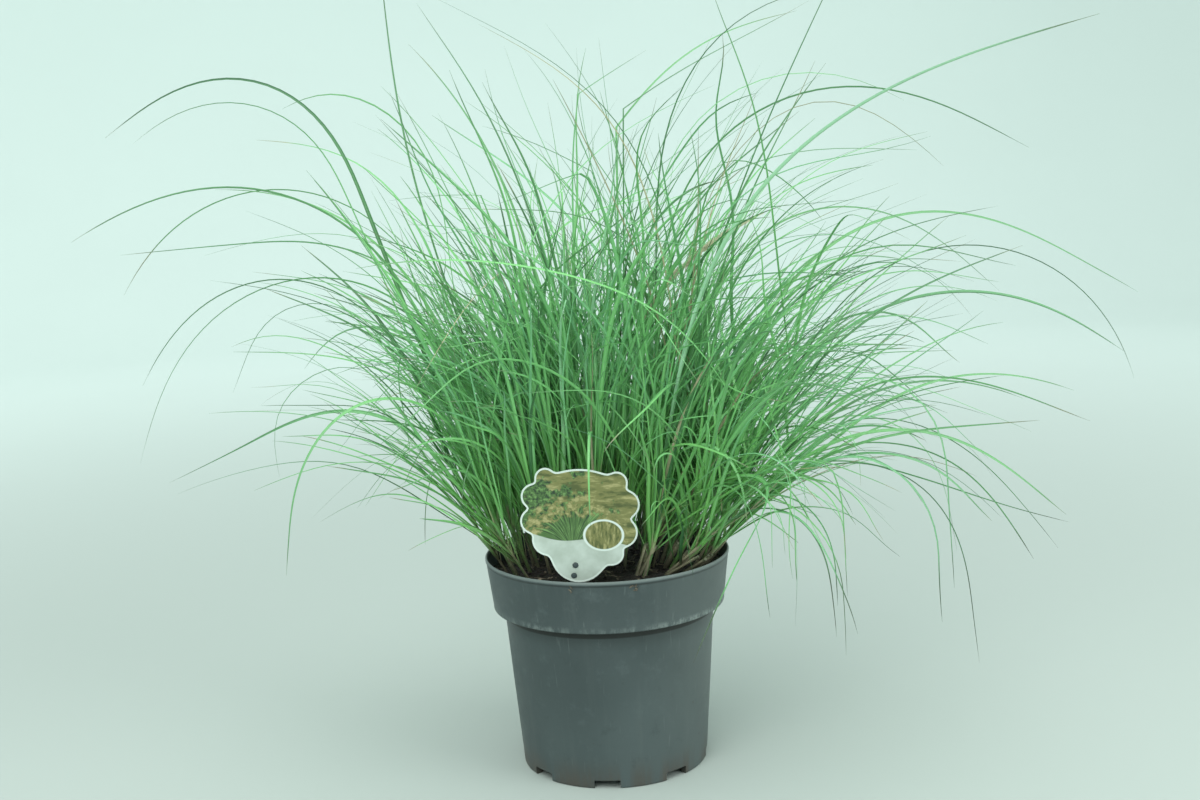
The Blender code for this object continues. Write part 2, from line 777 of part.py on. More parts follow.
def sheath_line(shoot):
    """The sheath's middle line and its half widths."""
    root, way = root_and_way(shoot)
    widths = [BLADE_HALF_WIDTH * SHEATH_SCALE, BLADE_HALF_WIDTH * SHEATH_TOP_SCALE]
    return [root + way * 0.008, root + way * SHEATH], widths


def take_sheath(room, owner, shoot):
    """Marks a shoot's sheath as taken."""
    points, widths = sheath_line(shoot)
    room.take(owner, points, widths)


def sunflower_places():
    """Places over the clump's oval, evenly spread by the golden angle."""
    golden = math.pi * (3.0 - math.sqrt(5.0))
    for index in range(CLUMP_PLACES):
        share = math.sqrt((index + 0.5) / CLUMP_PLACES)
        angle = golden * index
        x = CLUMP_CENTRE[0] + CLUMP_RADII[0] * share * math.cos(angle)
        y = CLUMP_CENTRE[1] + CLUMP_RADII[1] * share * math.sin(angle)
        yield x, y


def is_bare(x, y):
    """Whether this place is in the bare soil at the front, round the label."""
    low, high, front = BARE_FRONT
    return low < x < high and y < front


def spread(azimuth):
    """How far shoots and blades by rule lean this way: in full, and less the more it is to the left."""
    return 1.0 - (1.0 - LEFT_SHARE) * max(0.0, -math.cos(math.radians(azimuth)))


def filling_blades(rng, shoot, outward):
    """An endless run of blades for a filling shoot: upright in the middle, low and arching outside."""
    share = spread(shoot.azimuth)
    while True:
        azimuth = shoot.azimuth + rng.gauss(0.0, 34.0 - 16.0 * outward)
        lean = max(2.0, shoot.lean * rng.uniform(0.55, 1.30) + rng.gauss(0.0, 4.0))
        length = (0.7 + 0.3 * share) * rng.triangular(0.28, 0.55, 0.42) - 0.09 * outward
        droop = (0.5 + 0.5 * share) * rng.triangular(8.0, 105.0, 30.0 + 45.0 * outward)
        yield Blade(azimuth, lean, droop, length, rng.uniform(0.50, 0.76), rng.uniform(0.32, 0.48))


def side_blades(rng, shoot):
    """An endless run of low blades for a leading shoot at the side of the clump."""
    share = spread(shoot.azimuth)
    while True:
        azimuth = shoot.azimuth + rng.gauss(0.0, 22.0)
        lean = share * rng.triangular(20.0, 60.0, 46.0)
        length = rng.triangular(0.20, 0.40, 0.30)
        yield Blade(azimuth, lean, rng.uniform(10.0, 75.0), length, rng.uniform(0.5, 0.75), 0.40)


def widen(room, rng, leading):
    """The leading shoots, those at the sides with a few low blades more."""
    widened = []
    for owner, shoot in enumerate(leading):
        blades = list(shoot.blades)
        wanted = SIDE_BLADES if abs(shoot.x) > SIDE_PLACE else 0
        choices = side_blades(rng, shoot)
        for index in range(len(blades), len(blades) + wanted):
            tries = (next(choices) for _ in range(TRIES))
            placed = settle(room, owner, shoot, index, tries, True)
            if placed is not None:
                blades.append(placed)
        widened.append(shoot._replace(blades=tuple(blades)))
    return widened


def settle_filling(room, rng, leading):
    """Shoots that fill the clump, kept apart from each other and from the leading ones."""
    settled = []
    roots = [(shoot.x, shoot.y) for shoot in leading] + [STALK_ROOT]
    for x, y in sunflower_places():
        if len(settled) == FILL_SHOOTS or is_bare(x, y):
            continue
        if min(math.dist((x, y), root) for root in roots) < ROOT_SPACING:
            continue
        outward = min(1.0, math.hypot(x / CLUMP_RADII[0], (y - CLUMP_CENTRE[1]) / CLUMP_RADII[1]))
        azimuth = math.degrees(math.atan2(y - FOUNTAIN_Y, x)) + rng.gauss(0.0, 10.0)
        lean = 3.0 + 40.0 * spread(azimuth) * outward ** 1.6 + rng.gauss(0.0, 2.0)
        shoot = Shoot(x, y, azimuth, lean, ())
        owner = len(leading) + len(settled)
        points, widths = sheath_line(shoot)
        if not room.is_free(owner, points[:1], widths[:1]):
            continue
        take_sheath(room, owner, shoot)
        choices = filling_blades(rng, shoot, outward)
        blades = []
        for index in range(BLADES_PER_SHOOT - (outward < MIDDLE_SHARE)):
            tries = (next(choices) for _ in range(TRIES))
            placed = settle(room, owner, shoot, index, tries, True)
            if placed is not None:
                blades.append(placed)
        if not blades:
            continue
        roots.append((x, y))
        settled.append(shoot._replace(blades=tuple(blades)))
    return settled


def is_one_body(mesh):
    """Whether the mesh is in one piece, with a face on either side of each edge."""
    shape = bmesh.new()
    shape.from_mesh(mesh)
    closed = all(len(edge.link_faces) == 2 for edge in shape.edges)
    shape.verts.ensure_lookup_table()
    reached = {shape.verts[0]}
    waiting = [shape.verts[0]]
    while waiting:
        vertex = waiting.pop()
        for edge in vertex.link_edges:
            other = edge.other_vert(vertex)
            if other not in reached:
                reached.add(other)
                waiting.append(other)
    whole = len(reached) == len(shape.verts)
    shape.free()
    return closed and whole


def joined(mesh, line, roll, profile, helpers):
    """The mesh with a blade along this line joined to it, or None where the union fails."""
    scales = [blade_scale(share) for _, share in line]
    tilts = [math.radians(roll)] * len(line)
    blade = tube_mesh("blade", [place for place, _ in line], scales, profile, helpers, tilts)
    grown = add_object("blade", blade, helpers)
    holder = add_object("holder", mesh, helpers)
    boolean(holder, grown, "UNION")
    fused = evaluated_mesh(holder, mesh.name)
    bpy.data.objects.remove(grown)
    bpy.data.objects.remove(holder)
    return fused if len(fused.polygons) > len(mesh.polygons) and is_one_body(fused) else None


def with_blades(mesh, shoot, index, profile, helpers):
    """The mesh with the shoot's blades from this one on joined to it, or None where all tries fail."""
    if index == len(shoot.blades):
        return mesh
    way = root_and_way(shoot)[1]
    for slide, roll in SLIDES_AND_ROLLS:
        line = faceted(foot_of(shoot, index) + way * slide, shoot.blades[index])
        fused = joined(mesh, line, roll, profile, helpers)
        if fused is not None:
            fused = with_blades(fused, shoot, index + 1, profile, helpers)
        if fused is not None:
            return fused
    return None


def shoot_mesh(name, shoot, profile, helpers):
    """One shoot as a closed mesh: its sheath runs on into its first blade, and the others grow from it."""
    root, way = root_and_way(shoot)
    first = faceted(foot_of(shoot, 0), shoot.blades[0])
    points = [root - way * PLANT_DEPTH] + [place for place, _ in first]
    scales = [SHEATH_SCALE, SHEATH_TOP_SCALE] + [blade_scale(share) for _, share in first[1:]]
    tilts = sheath_tilts(points, shoot.blades[0].azimuth)
    mesh = tube_mesh(name, points, scales, profile, helpers, tilts)
    mesh = with_blades(mesh, shoot, 1, profile, helpers)
    if mesh is None:
        raise ValueError(f"the blades of {name} can't be joined to its sheath")
    return mesh


def stalk_shoot():
    """The flowering stalk, held as a shoot of one blade that starts at the soil."""
    blade = Blade(STALK_AZIMUTH, STALK_LEAN, STALK_DROOP, STALK_LENGTH, 0.66, 0.40)
    return Shoot(*STALK_ROOT, STALK_AZIMUTH, STALK_LEAN, (blade,))


def stalk_half_width(share):
    """The stalk's half width along its length: thin, then a plume that swells and tapers."""
    if share < PLUME_SHARE:
        return STALK_HALF_WIDTH
    along = (share - PLUME_SHARE) / (1.0 - PLUME_SHARE)
    swell = math.sin(math.pi * along) ** 0.7
    return STALK_HALF_WIDTH * (1.0 - 0.7 * along) + (PLUME_HALF_WIDTH - STALK_HALF_WIDTH) * swell


def build_seed_head(path, parts, helpers):
    """The old flowering stalk with its plume, standing in the soil."""
    finish = principled("seed_head", (0.42, 0.34, 0.20), 0.80)
    section = helpers.objects["stalk_section"]
    below = path[0] - (path[1] - path[0]).normalized() * PLANT_DEPTH
    shares = [0.0, 0.20, 0.40, 0.58] + [PLUME_SHARE + 0.05 * step for step in range(9)]
    points = [below] + [path[round(share * PATH_STEPS)] for share in shares]
    widths = [STALK_HALF_WIDTH] + [max(STALK_TIP, stalk_half_width(share)) for share in shares]
    mesh = tube_mesh("seed_head", points, widths, section, helpers)
    return add_object("seed_head", mesh, parts, finish)


def main():
    """Builds the pot, the soil, the label and the plant."""
    for obj in list(bpy.data.objects):
        bpy.data.objects.remove(obj, do_unlink=True)
    parts = fresh_collection("potted_miscanthus")
    helpers = fresh_collection("helpers")
    profile = blade_profile(helpers)
    around = [(math.cos(angle), math.sin(angle)) for angle in spokes(STALK_SIDES)]
    section_curve("stalk_section", around, helpers)
    room = Room()
    rng = random.Random(SEED)
    leading = settle_leading(room)
    stalk = stalk_shoot()
    stalk_path = blade_path(root_and_way(stalk)[0], stalk.blades[0])
    widths = [stalk_half_width(index / PATH_STEPS) for index in range(PATH_STEPS + 1)]
    if not room.is_free("stalk", stalk_path[4:], widths[4:]):
        raise ValueError("the flowering stalk runs into a leading blade")
    room.take("stalk", stalk_path, widths)
    leading = widen(room, rng, leading)
    filling = settle_filling(room, rng, leading)
    shoots = leading + filling
    build_pot(parts, helpers)
    build_soil(shoots, profile, parts, helpers)
    build_card(parts, helpers)
    build_stake(parts, helpers)
    build_seed_head(stalk_path, parts, helpers)
    finish = principled("blade_green", (0.085, 0.260, 0.095), 0.50)
    for number, shoot in enumerate(shoots, 1):
        name = f"shoot_{number:02d}"
        add_object(name, shoot_mesh(name, shoot, profile, helpers), parts, finish)


main()
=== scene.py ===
"""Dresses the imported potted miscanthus: a clump of arching grass in a slate grey nursery pot, with a label.

Metres, +Z up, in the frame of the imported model. The origin is the middle of the pot's underside and the
front is -Y. Angles of blades are degrees: azimuth turns anticlockwise from +X as seen from above, and lean
is measured from upright.
"""

import logging
import math
import random
from collections.abc import Callable, Iterable, Iterator, Sequence
from contextlib import contextmanager
from dataclasses import dataclass, field, replace
from enum import Enum
from typing import Any

import bmesh
import bpy
import numpy as np
from mathutils import Matrix, Vector, noise


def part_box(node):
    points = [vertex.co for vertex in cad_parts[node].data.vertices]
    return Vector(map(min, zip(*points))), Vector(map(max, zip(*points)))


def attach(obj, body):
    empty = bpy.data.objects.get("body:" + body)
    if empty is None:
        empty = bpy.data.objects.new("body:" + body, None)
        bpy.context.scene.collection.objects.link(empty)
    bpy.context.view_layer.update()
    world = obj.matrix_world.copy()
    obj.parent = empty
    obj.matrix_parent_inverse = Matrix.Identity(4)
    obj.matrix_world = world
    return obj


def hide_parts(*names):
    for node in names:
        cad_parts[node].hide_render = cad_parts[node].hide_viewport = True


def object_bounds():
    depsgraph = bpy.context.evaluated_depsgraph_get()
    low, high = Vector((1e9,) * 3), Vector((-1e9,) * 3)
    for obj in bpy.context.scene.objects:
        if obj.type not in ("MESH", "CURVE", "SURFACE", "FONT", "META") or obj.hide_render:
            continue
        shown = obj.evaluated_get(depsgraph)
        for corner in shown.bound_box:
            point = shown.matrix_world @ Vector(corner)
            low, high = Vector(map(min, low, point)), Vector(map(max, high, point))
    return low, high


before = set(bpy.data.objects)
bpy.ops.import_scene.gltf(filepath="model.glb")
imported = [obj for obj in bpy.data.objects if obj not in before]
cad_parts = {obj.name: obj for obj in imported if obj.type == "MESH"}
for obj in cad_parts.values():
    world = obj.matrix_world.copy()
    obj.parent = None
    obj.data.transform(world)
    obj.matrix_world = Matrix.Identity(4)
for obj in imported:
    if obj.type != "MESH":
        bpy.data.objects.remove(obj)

CAD_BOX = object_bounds()
LOG = logging.getLogger("miscanthus")

SEED = 7
ROOT = "root"

Spot = tuple[float, float]
Point = tuple[float, float, float]
Colour = tuple[float, float, float]
Numbers = np.ndarray | float
Piece = bpy.types.Object


class Slot(Enum):
    """The record's material slots."""

    POT = "pot_plastic"
    SOIL = "soil"
    CARD = "label_card"
    STAKE = "label_stake"
    SEED_HEAD = "seed_head"
    BLADE = "blade_green"


class Across(Enum):
    """Sections of leaves and stems, as points in half widths, anticlockwise from the left."""

    BLADE = (
        (-1.0, 0.34), (-0.5, 0.02), (0.0, -0.24), (0.5, 0.02),
        (1.0, 0.34), (0.5, 0.14), (0.0, 0.00), (-0.5, 0.14),
    )
    THIN = ((-1.0, 0.30), (0.0, -0.22), (1.0, 0.30), (0.0, 0.00))
    STEM = tuple((-math.cos(math.tau * i / 10), -0.86 * math.sin(math.tau * i / 10)) for i in range(10))
    SLEEVE = (
        (-1.0, 0.62), (-0.72, -0.12), (0.0, -0.50), (0.72, -0.12),
        (1.0, 0.62), (0.66, 0.02), (0.0, -0.36), (-0.66, 0.02),
    )


def deselect_all() -> None:
    """Deselects every object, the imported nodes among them."""
    bpy.ops.object.select_all(action="DESELECT")


def pick(piece: Piece) -> None:
    """Selects one object alone and makes it the active one."""
    deselect_all()
    piece.select_set(True)
    bpy.context.view_layer.objects.active = piece


def name_piece(name: str) -> Piece:
    """Names the active object and its mesh, and returns the object."""
    piece = bpy.context.view_layer.objects.active
    piece.name = name
    piece.data.name = name
    return piece


@contextmanager
def editing(piece: Piece) -> Iterator[bmesh.types.BMesh]:
    """Edit mode on one piece, with nothing of it selected at first.

    Args:
        piece: The mesh object to edit.

    Yields:
        The mesh that is being edited.
    """
    pick(piece)
    bpy.ops.object.mode_set(mode="EDIT")
    bpy.ops.mesh.select_all(action="DESELECT")
    try:
        yield bmesh.from_edit_mesh(piece.data)
    finally:
        bpy.ops.object.mode_set(mode="OBJECT")


def select_where(elements: Iterable[Any], test: Callable[[Any], bool]) -> None:
    """Selects the points, edges or faces that pass a test, where nothing is selected yet."""
    for element in elements:
        if test(element):
            element.select_set(True)


def face_outwards(piece: Piece) -> None:
    """Merges the piece's doubles and turns its faces outwards."""
    with editing(piece):
        bpy.ops.mesh.select_all(action="SELECT")
        bpy.ops.mesh.remove_doubles(threshold=0.00001)
        bpy.ops.mesh.normals_make_consistent(inside=False)


def apply_modifier(piece: Piece, kind: str, **settings: Any) -> None:
    """Adds a modifier with these settings and applies it."""
    pick(piece)
    step = piece.modifiers.new(kind.lower(), kind)
    for name, value in settings.items():
        setattr(step, name, value)
    bpy.ops.object.modifier_apply(modifier=step.name)


def apply_place(piece: Piece) -> None:
    """Moves the piece's place into its mesh, so that its object sits at the origin."""
    pick(piece)
    bpy.ops.object.transform_apply(location=True, rotation=True, scale=True)


def join(pieces: Sequence[Piece], name: str) -> Piece:
    """Joins several mesh objects into the first.

    Args:
        pieces: The objects, the one that is kept first.
        name: The name of what comes out.

    Returns:
        The joined object.
    """
    deselect_all()
    for piece in pieces:
        piece.select_set(True)
    bpy.context.view_layer.objects.active = pieces[0]
    bpy.ops.object.join()
    return name_piece(name)


def smooth(piece: Piece, angle: float) -> None:
    """Shades the piece smooth, except over edges sharper than an angle in degrees."""
    pick(piece)
    bpy.ops.object.shade_smooth_by_angle(angle=math.radians(angle))


def settle(name: str) -> Piece:
    """Names the object that was just added, moves its place into its mesh and returns it."""
    piece = name_piece(name)
    apply_place(piece)
    return piece


def add_ring(name: str, sides: int, radius: float, height: float = 0.0, fill: str = "NOTHING") -> Piece:
    """Adds a level ring round the Z axis, open or filled."""
    deselect_all()
    place = (0.0, 0.0, height)
    bpy.ops.mesh.primitive_circle_add(vertices=sides, radius=radius, fill_type=fill, location=place)
    return settle(name)


def add_rod(name: str, sides: int, radius: float, length: float, place: Point) -> Piece:
    """Adds an upright rod about a place."""
    deselect_all()
    bpy.ops.mesh.primitive_cylinder_add(vertices=sides, radius=radius, depth=length, location=place)
    return settle(name)


def add_block(name: str, size: Point, place: Point, turn: float = 0.0) -> Piece:
    """Adds a block about a place, turned round the Z axis by an angle in radians."""
    deselect_all()
    bpy.ops.mesh.primitive_cube_add(size=1.0, scale=size, rotation=(0.0, 0.0, turn), location=place)
    return settle(name)


def extrude_rings(rings: Sequence[Spot]) -> None:
    """Extrudes the selected ring onward through rings round the Z axis, each a radius and a height."""
    for (radius, height), (following, onward) in zip(rings, rings[1:]):
        bpy.ops.mesh.extrude_edges_move(TRANSFORM_OT_translate={"value": (0.0, 0.0, onward - height)})
        share = following / radius
        bpy.ops.transform.resize(value=(share, share, 1.0), center_override=(0.0, 0.0, onward))


def cut(piece: Piece, tools: Sequence[Piece]) -> None:
    """Cuts tools out of a piece and removes them."""
    cutter = join(tools, "cutter")
    apply_modifier(piece, "BOOLEAN", operation="DIFFERENCE", solver="EXACT", object=cutter)
    bpy.data.objects.remove(cutter)


def dress(piece: Piece, finish: bpy.types.Material) -> None:
    """Gives the whole piece one finish."""
    piece.data.materials.clear()
    piece.data.materials.append(finish)


def add_to_object(piece: Piece, slot: Slot, *nodes: str) -> None:
    """Puts a finished piece on the model.

    Args:
        piece: The finished piece.
        slot: The record's material slot. It is not used.
        nodes: The CAD nodes that it stands for.
    """
    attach(piece, ROOT)
    if nodes:
        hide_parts(*nodes)
    LOG.info("%s: %d faces", piece.name, len(piece.data.polygons))


@dataclass(frozen=True)
class Value:
    """A socket in a shader tree, with arithmetic that adds the nodes it takes."""

    shading: "Shading"
    socket: bpy.types.NodeSocket

    def __add__(self, other: "Value | float") -> "Value":
        """The sum."""
        return self.shading.math("ADD", self, other)

    def __sub__(self, other: "Value | float") -> "Value":
        """The difference."""
        return self.shading.math("SUBTRACT", self, other)

    def __mul__(self, other: "Value | float") -> "Value":
        """The product."""
        return self.shading.math("MULTIPLY", self, other)

    def __truediv__(self, other: "Value | float") -> "Value":
        """The quotient."""
        return self.shading.math("DIVIDE", self, other)

    def fade(self, low: float, high: float, start: float = 0.0, end: float = 1.0) -> "Value":
        """A smooth change from start to end while this value goes from low to high."""
        inputs = {"Value": self, "From Min": low, "From Max": high, "To Min": start, "To Max": end}
        return self.shading.add("MapRange", inputs, interpolation_type="SMOOTHSTEP")

    def coats(self, *coats: "tuple[Value | float, Value | Colour]") -> "Value":
        """This colour under coats of other colours, each given with its share."""
        colour = self
        for share, coat in coats:
            colour = self.shading.mix(share, colour, coat)
        return colour


@dataclass(frozen=True)
class Shading:
    """Adds and links shader nodes in one tree."""

    tree: bpy.types.NodeTree

    def set_input(self, socket: bpy.types.NodeSocket, value: Any) -> None:
        """Links a value to an input, or writes a plain number, vector or colour into it."""
        if isinstance(value, Value):
            self.tree.links.new(value.socket, socket)
        else:
            socket.default_value = value

    def node(self, kind: str, inputs: dict[str | int, Any] | None = None, **settings: Any) -> bpy.types.Node:
        """Adds a node.

        Args:
            kind: The node's type without its "ShaderNode" start.
            inputs: A number or a value for each input.
            settings: The node's own settings.

        Returns:
            The node.
        """
        node = self.tree.nodes.new("ShaderNode" + kind)
        for name, value in settings.items():
            setattr(node, name, value)
        for key, value in (inputs or {}).items():
            self.set_input(node.inputs[key], value)
        return node

    def add(
        self, kind: str, inputs: dict[str | int, Any] | None = None, output: str | int = 0, **settings: Any,
    ) -> Value:
        """Adds a node and gives one of its outputs."""
        return Value(self, self.node(kind, inputs, **settings).outputs[output])

    def math(self, operation: str, *values: Value | float, clamp: bool = False) -> Value:
        """One step of arithmetic."""
        return self.add("Math", dict(enumerate(values)), operation=operation, use_clamp=clamp)

    def distance(self, across: Value, up: Value) -> Value:
        """The length of a way that is given by its two parts."""
        return self.math("SQRT", across * across + up * up)

    def mix(self, share: Value | float, first: Value | Colour, second: Value | Colour) -> Value:
        """A mix of two colours."""
        colours = [value if isinstance(value, Value) else (*value, 1.0) for value in (first, second)]
        return self.add("Mix", {0: share, 6: colours[0], 7: colours[1]}, 2, data_type="RGBA")

    def bands(self, pattern: Value, dark: Colour, middle: Colour, bright: Colour, *edges: float) -> Value:
        """Three colours by a pattern: two pairs of edges say where each colour gives way to the next."""
        return self.mix(pattern.fade(*edges[:2]), dark, middle).coats((pattern.fade(*edges[2:]), bright))

    def noise(self, place: Value, scale: float, detail: float = 3.0, rough: float = 0.55) -> Value:
        """Clouds at this scale, as a value about 0.5."""
        inputs = {"Vector": place, "Scale": scale, "Detail": detail, "Roughness": rough}
        return self.add("TexNoise", inputs, "Fac")

    def stretched(self, place: Value, *scale: float) -> Value:
        """The place, scaled by its own amount along each axis."""
        return self.add("Mapping", {"Vector": place, "Scale": scale})

    def object_place(self) -> Value:
        """The place on the object, in metres."""
        return self.add("TexCoord", output="Object")

    def split(self, vector: Value) -> tuple[Value, ...]:
        """The x, y and z of a vector."""
        return tuple(Value(self, part) for part in self.node("SeparateXYZ", {0: vector}).outputs)

    def joined(self, *parts: Value) -> Value:
        """A vector of these parts."""
        return self.add("CombineXYZ", dict(enumerate(parts)))

    def length(self, vector: Value) -> Value:
        """The length of a vector."""
        return self.add("VectorMath", {0: vector}, "Value", operation="LENGTH")

    def strip_place(self) -> tuple[Value, Value]:
        """Where on a leaf this is: across it and along it, from the piece's own UV map."""
        across, along, _ = self.split(self.add("UVMap", uv_map="strip"))
        return across, along

    def attribute(self, name: str) -> Value:
        """A number kept at the points of the mesh."""
        return self.add("Attribute", output="Fac", attribute_name=name, attribute_type="GEOMETRY")

    def bump(self, height: Value, strength: float, distance: float, **onto: Value) -> Value:
        """A bump from a height of 0 to 1, at a depth in metres, on another if one is given as Normal."""
        return self.add("Bump", {"Strength": strength, "Distance": distance, "Height": height, **onto})

    def use(self, group: bpy.types.NodeTree, **values: Any) -> dict[str, Value]:
        """Adds a group with values for its inputs, and gives its outputs by name."""
        node = self.node("Group", values, node_tree=group)
        return {output.name: Value(self, output) for output in node.outputs}

    def set_surface(self, **inputs: Any) -> None:
        """Sets inputs of the finish's main shader, whose names are given with underscores for spaces."""
        shader = self.tree.nodes["Principled BSDF"]
        for name, value in inputs.items():
            self.set_input(shader.inputs[name.replace("_", " ")], value)


def new_finish(name: str) -> tuple[bpy.types.Material, Shading]:
    """A new material.

    Args:
        name: The finish's name.

    Returns:
        The material and its shading tree.
    """
    finish = bpy.data.materials.new(name)
    finish.use_nodes = True
    return finish, Shading(finish.node_tree)


def new_group(name: str, *values: str) -> tuple[Shading, dict[str, Value]]:
    """A shader node group whose inputs are single values.

    Args:
        name: The group's name.
        values: The names of its inputs.

    Returns:
        The group's shading tree and its inputs by name.
    """
    tree = bpy.data.node_groups.new(name, "ShaderNodeTree")
    for value in values:
        tree.interface.new_socket(value, in_out="INPUT", socket_type="NodeSocketFloat")
    shading = Shading(tree)
    given = tree.nodes.new("NodeGroupInput")
    return shading, {value: Value(shading, given.outputs[value]) for value in values}


def close_group(shading: Shading, **results: Value) -> bpy.types.NodeTree:
    """Gives a group its outputs, and returns its tree."""
    for name in results:
        shading.tree.interface.new_socket(name, in_out="OUTPUT", socket_type="NodeSocketFloat")
    out = shading.tree.nodes.new("NodeGroupOutput")
    for name, value in results.items():
        shading.set_input(out.inputs[name], value)
    return shading.tree


class Effects:
    """Shader groups that several finishes share."""

    def __init__(self) -> None:
        """Makes the groups."""
        self.grime_group = self._make_grime()
        self.fibre_group = self._make_fibre()

    def grime(self, shading: Shading, specks: float, scale: float = 1.0) -> dict[str, Value]:
        """The grime on a plastic finish."""
        return shading.use(self.grime_group, Specks=specks, Scale=scale)

    def fibre(self, shading: Shading, veins: float) -> dict[str, Value]:
        """The fibres of a leaf with this many veins."""
        return shading.use(self.fibre_group, Veins=veins)

    @staticmethod
    def _make_grime() -> bpy.types.NodeTree:
        """Clouds, fine scratches, scattered specks and moulded grain on plastic, by place on the object."""
        shading, given = new_group("plastic_grime", "Specks", "Scale")
        spot = shading.add("VectorMath", {0: shading.object_place(), 3: given["Scale"]}, operation="SCALE")
        fine = shading.noise(shading.stretched(spot, 420.0, 420.0, 12.0), 1.0, 2.0)
        cells = shading.node("TexVoronoi", {"Vector": spot, "Scale": 95.0, "Randomness": 1.0})
        _, kept, size = shading.split(Value(shading, cells.outputs["Color"]))
        inside = shading.math("LESS_THAN", Value(shading, cells.outputs["Distance"]), size * 0.16)
        chosen = shading.math("LESS_THAN", kept, given["Specks"])
        cloud = shading.noise(spot, 14.0, 5.0, 0.6)
        grain = shading.noise(spot, 1500.0, 2.0)
        return close_group(
            shading, Cloud=cloud.fade(0.35, 0.68), Scratch=fine.fade(0.66, 0.78), Speck=inside * chosen,
            Grain=grain,
        )

    @staticmethod
    def _make_fibre() -> bpy.types.NodeTree:
        """The midrib, the fine veins and the long streaks of a leaf, by place on its strip."""
        shading, given = new_group("leaf_fibre", "Veins")
        across, along = shading.strip_place()
        aside = shading.math("ABSOLUTE", across - 0.5)
        waves = shading.math("SINE", across * given["Veins"] * math.tau)
        spot = shading.joined(across * 3.0, along, shading.attribute("tone") * 40.0)
        return close_group(
            shading, Rib=aside.fade(0.03, 0.11, 1.0, 0.0), Vein=waves.fade(-1.0, 1.0),
            Streak=shading.noise(shading.stretched(spot, 1.0, 5.0, 1.0), 3.0, 4.0, 0.6),
        )


@dataclass(frozen=True)
class PotFinish:
    """Slate grey moulded plastic, dusty, scuffed along the collar, dirty at its foot, with painted shade and
    light.
    """

    slate: Colour = (0.031, 0.045, 0.047)
    pale: Colour = (0.068, 0.091, 0.093)
    shadow: Colour = (0.005, 0.007, 0.006)
    # pale scuffs and wear, and also the painted highlight along the rim's lip
    scuff_and_lip_highlight: Colour = (0.22, 0.26, 0.25)
    # real dust in the runs; also paints the pot's right side lighter, as painted light
    dust: Colour = (0.088, 0.108, 0.106)
    dirt: Colour = (0.060, 0.052, 0.042)
    speck: Colour = (0.040, 0.026, 0.024)

    def make(self, effects: Effects, pot: "PotSizes") -> bpy.types.Material:
        """The finish as a material.

        Args:
            effects: The shared shader groups.
            pot: The pot's sizes, which place the scuffs, the dirt, the painted shadows and the painted lip
                highlight.

        Returns:
            The material.
        """
        finish, shading = new_finish("slate_plastic")
        grime = effects.grime(shading, 0.16)
        place = shading.object_place()
        x, y, z = shading.split(place)
        top = pot.height
        ledge = pot.height - pot.collar_depth
        runs = shading.noise(shading.stretched(place, 60.0, 60.0, 3.0), 1.0, 4.0, 0.6)
        mottle = shading.noise(place, 55.0, 6.0, 0.7)
        ragged = shading.noise(shading.stretched(place, 190.0, 190.0, 90.0), 1.0, 5.0, 0.70)
        scuffed_side = (x * 0.8 - y).fade(-0.04, 0.13, 0.35, 1.0) * (x * x).fade(0.0006, 0.0036, 0.30, 1.0)
        on_edge = z.fade(ledge - 0.0008, ledge + 0.0012) * z.fade(ledge + 0.0022, ledge + 0.0066, 1.0, 0.0)
        edge = on_edge * (ragged.fade(0.40, 0.62) * scuffed_side)
        below = z.fade(ledge, ledge + 0.0008, 1.0, 0.0)
        # painted shade: a dark band just under the rim's lip
        lip_shade_band = z.fade(top - 0.0052, top - 0.0040) * z.fade(top - 0.0036, top - 0.0030, 1.0, 0.0)
        under_lip = shading.math("ADD", z.fade(ledge + 0.012, top - 0.012), 0.25, clamp=True)
        broad = shading.noise(place, 7.0, 2.0)
        colour = shading.mix(broad.fade(0.3, 0.7, 0.15, 0.70), self.slate, self.pale).coats(
            (mottle.fade(0.52, 0.72, 0.0, 0.55), self.pale),
            (mottle.fade(0.30, 0.46, 0.50, 0.0), self.slate),
            (runs.fade(0.50, 0.75, 0.0, 0.30), self.dust),
            (grime["Scratch"] * 0.22, self.scuff_and_lip_highlight),
            # painted light: the right side is painted lighter with the dust colour, standing in for light
            # from the right
            (x.fade(0.02, 0.10, 0.0, 0.80), self.dust),
            # painted shadow under the collar's overhang: a soft wide band, then a near-black line just under
            # the ledge
            (below * z.fade(ledge - 0.0200, ledge - 0.0080, 0.0, 0.22), self.shadow),
            (below * z.fade(ledge - 0.0074, ledge - 0.0060, 0.0, 0.94), self.shadow),
            (edge * 0.85, self.scuff_and_lip_highlight),
            # painted highlight: a lighter line along the top of the rim's lip, in the scuff colour
            (z.fade(top - 0.0030, top - 0.0012, 0.0, 0.45), self.scuff_and_lip_highlight),
            (z.fade(0.0, 0.030, 0.85, 0.0) * runs.fade(0.35, 0.6), self.dirt),
            # painted shade under the rim's lip
            (lip_shade_band * 0.55, self.shadow),
            (grime["Speck"] * under_lip, self.speck),
        )
        rough = grime["Cloud"].fade(0.0, 1.0, 0.44, 0.60) + edge * 0.15
        normal = shading.bump(grime["Grain"], 0.35, 0.00006, Normal=shading.bump(runs, 0.25, 0.0004))
        shading.set_surface(Base_Color=colour, Roughness=rough, Normal=normal)
        return finish


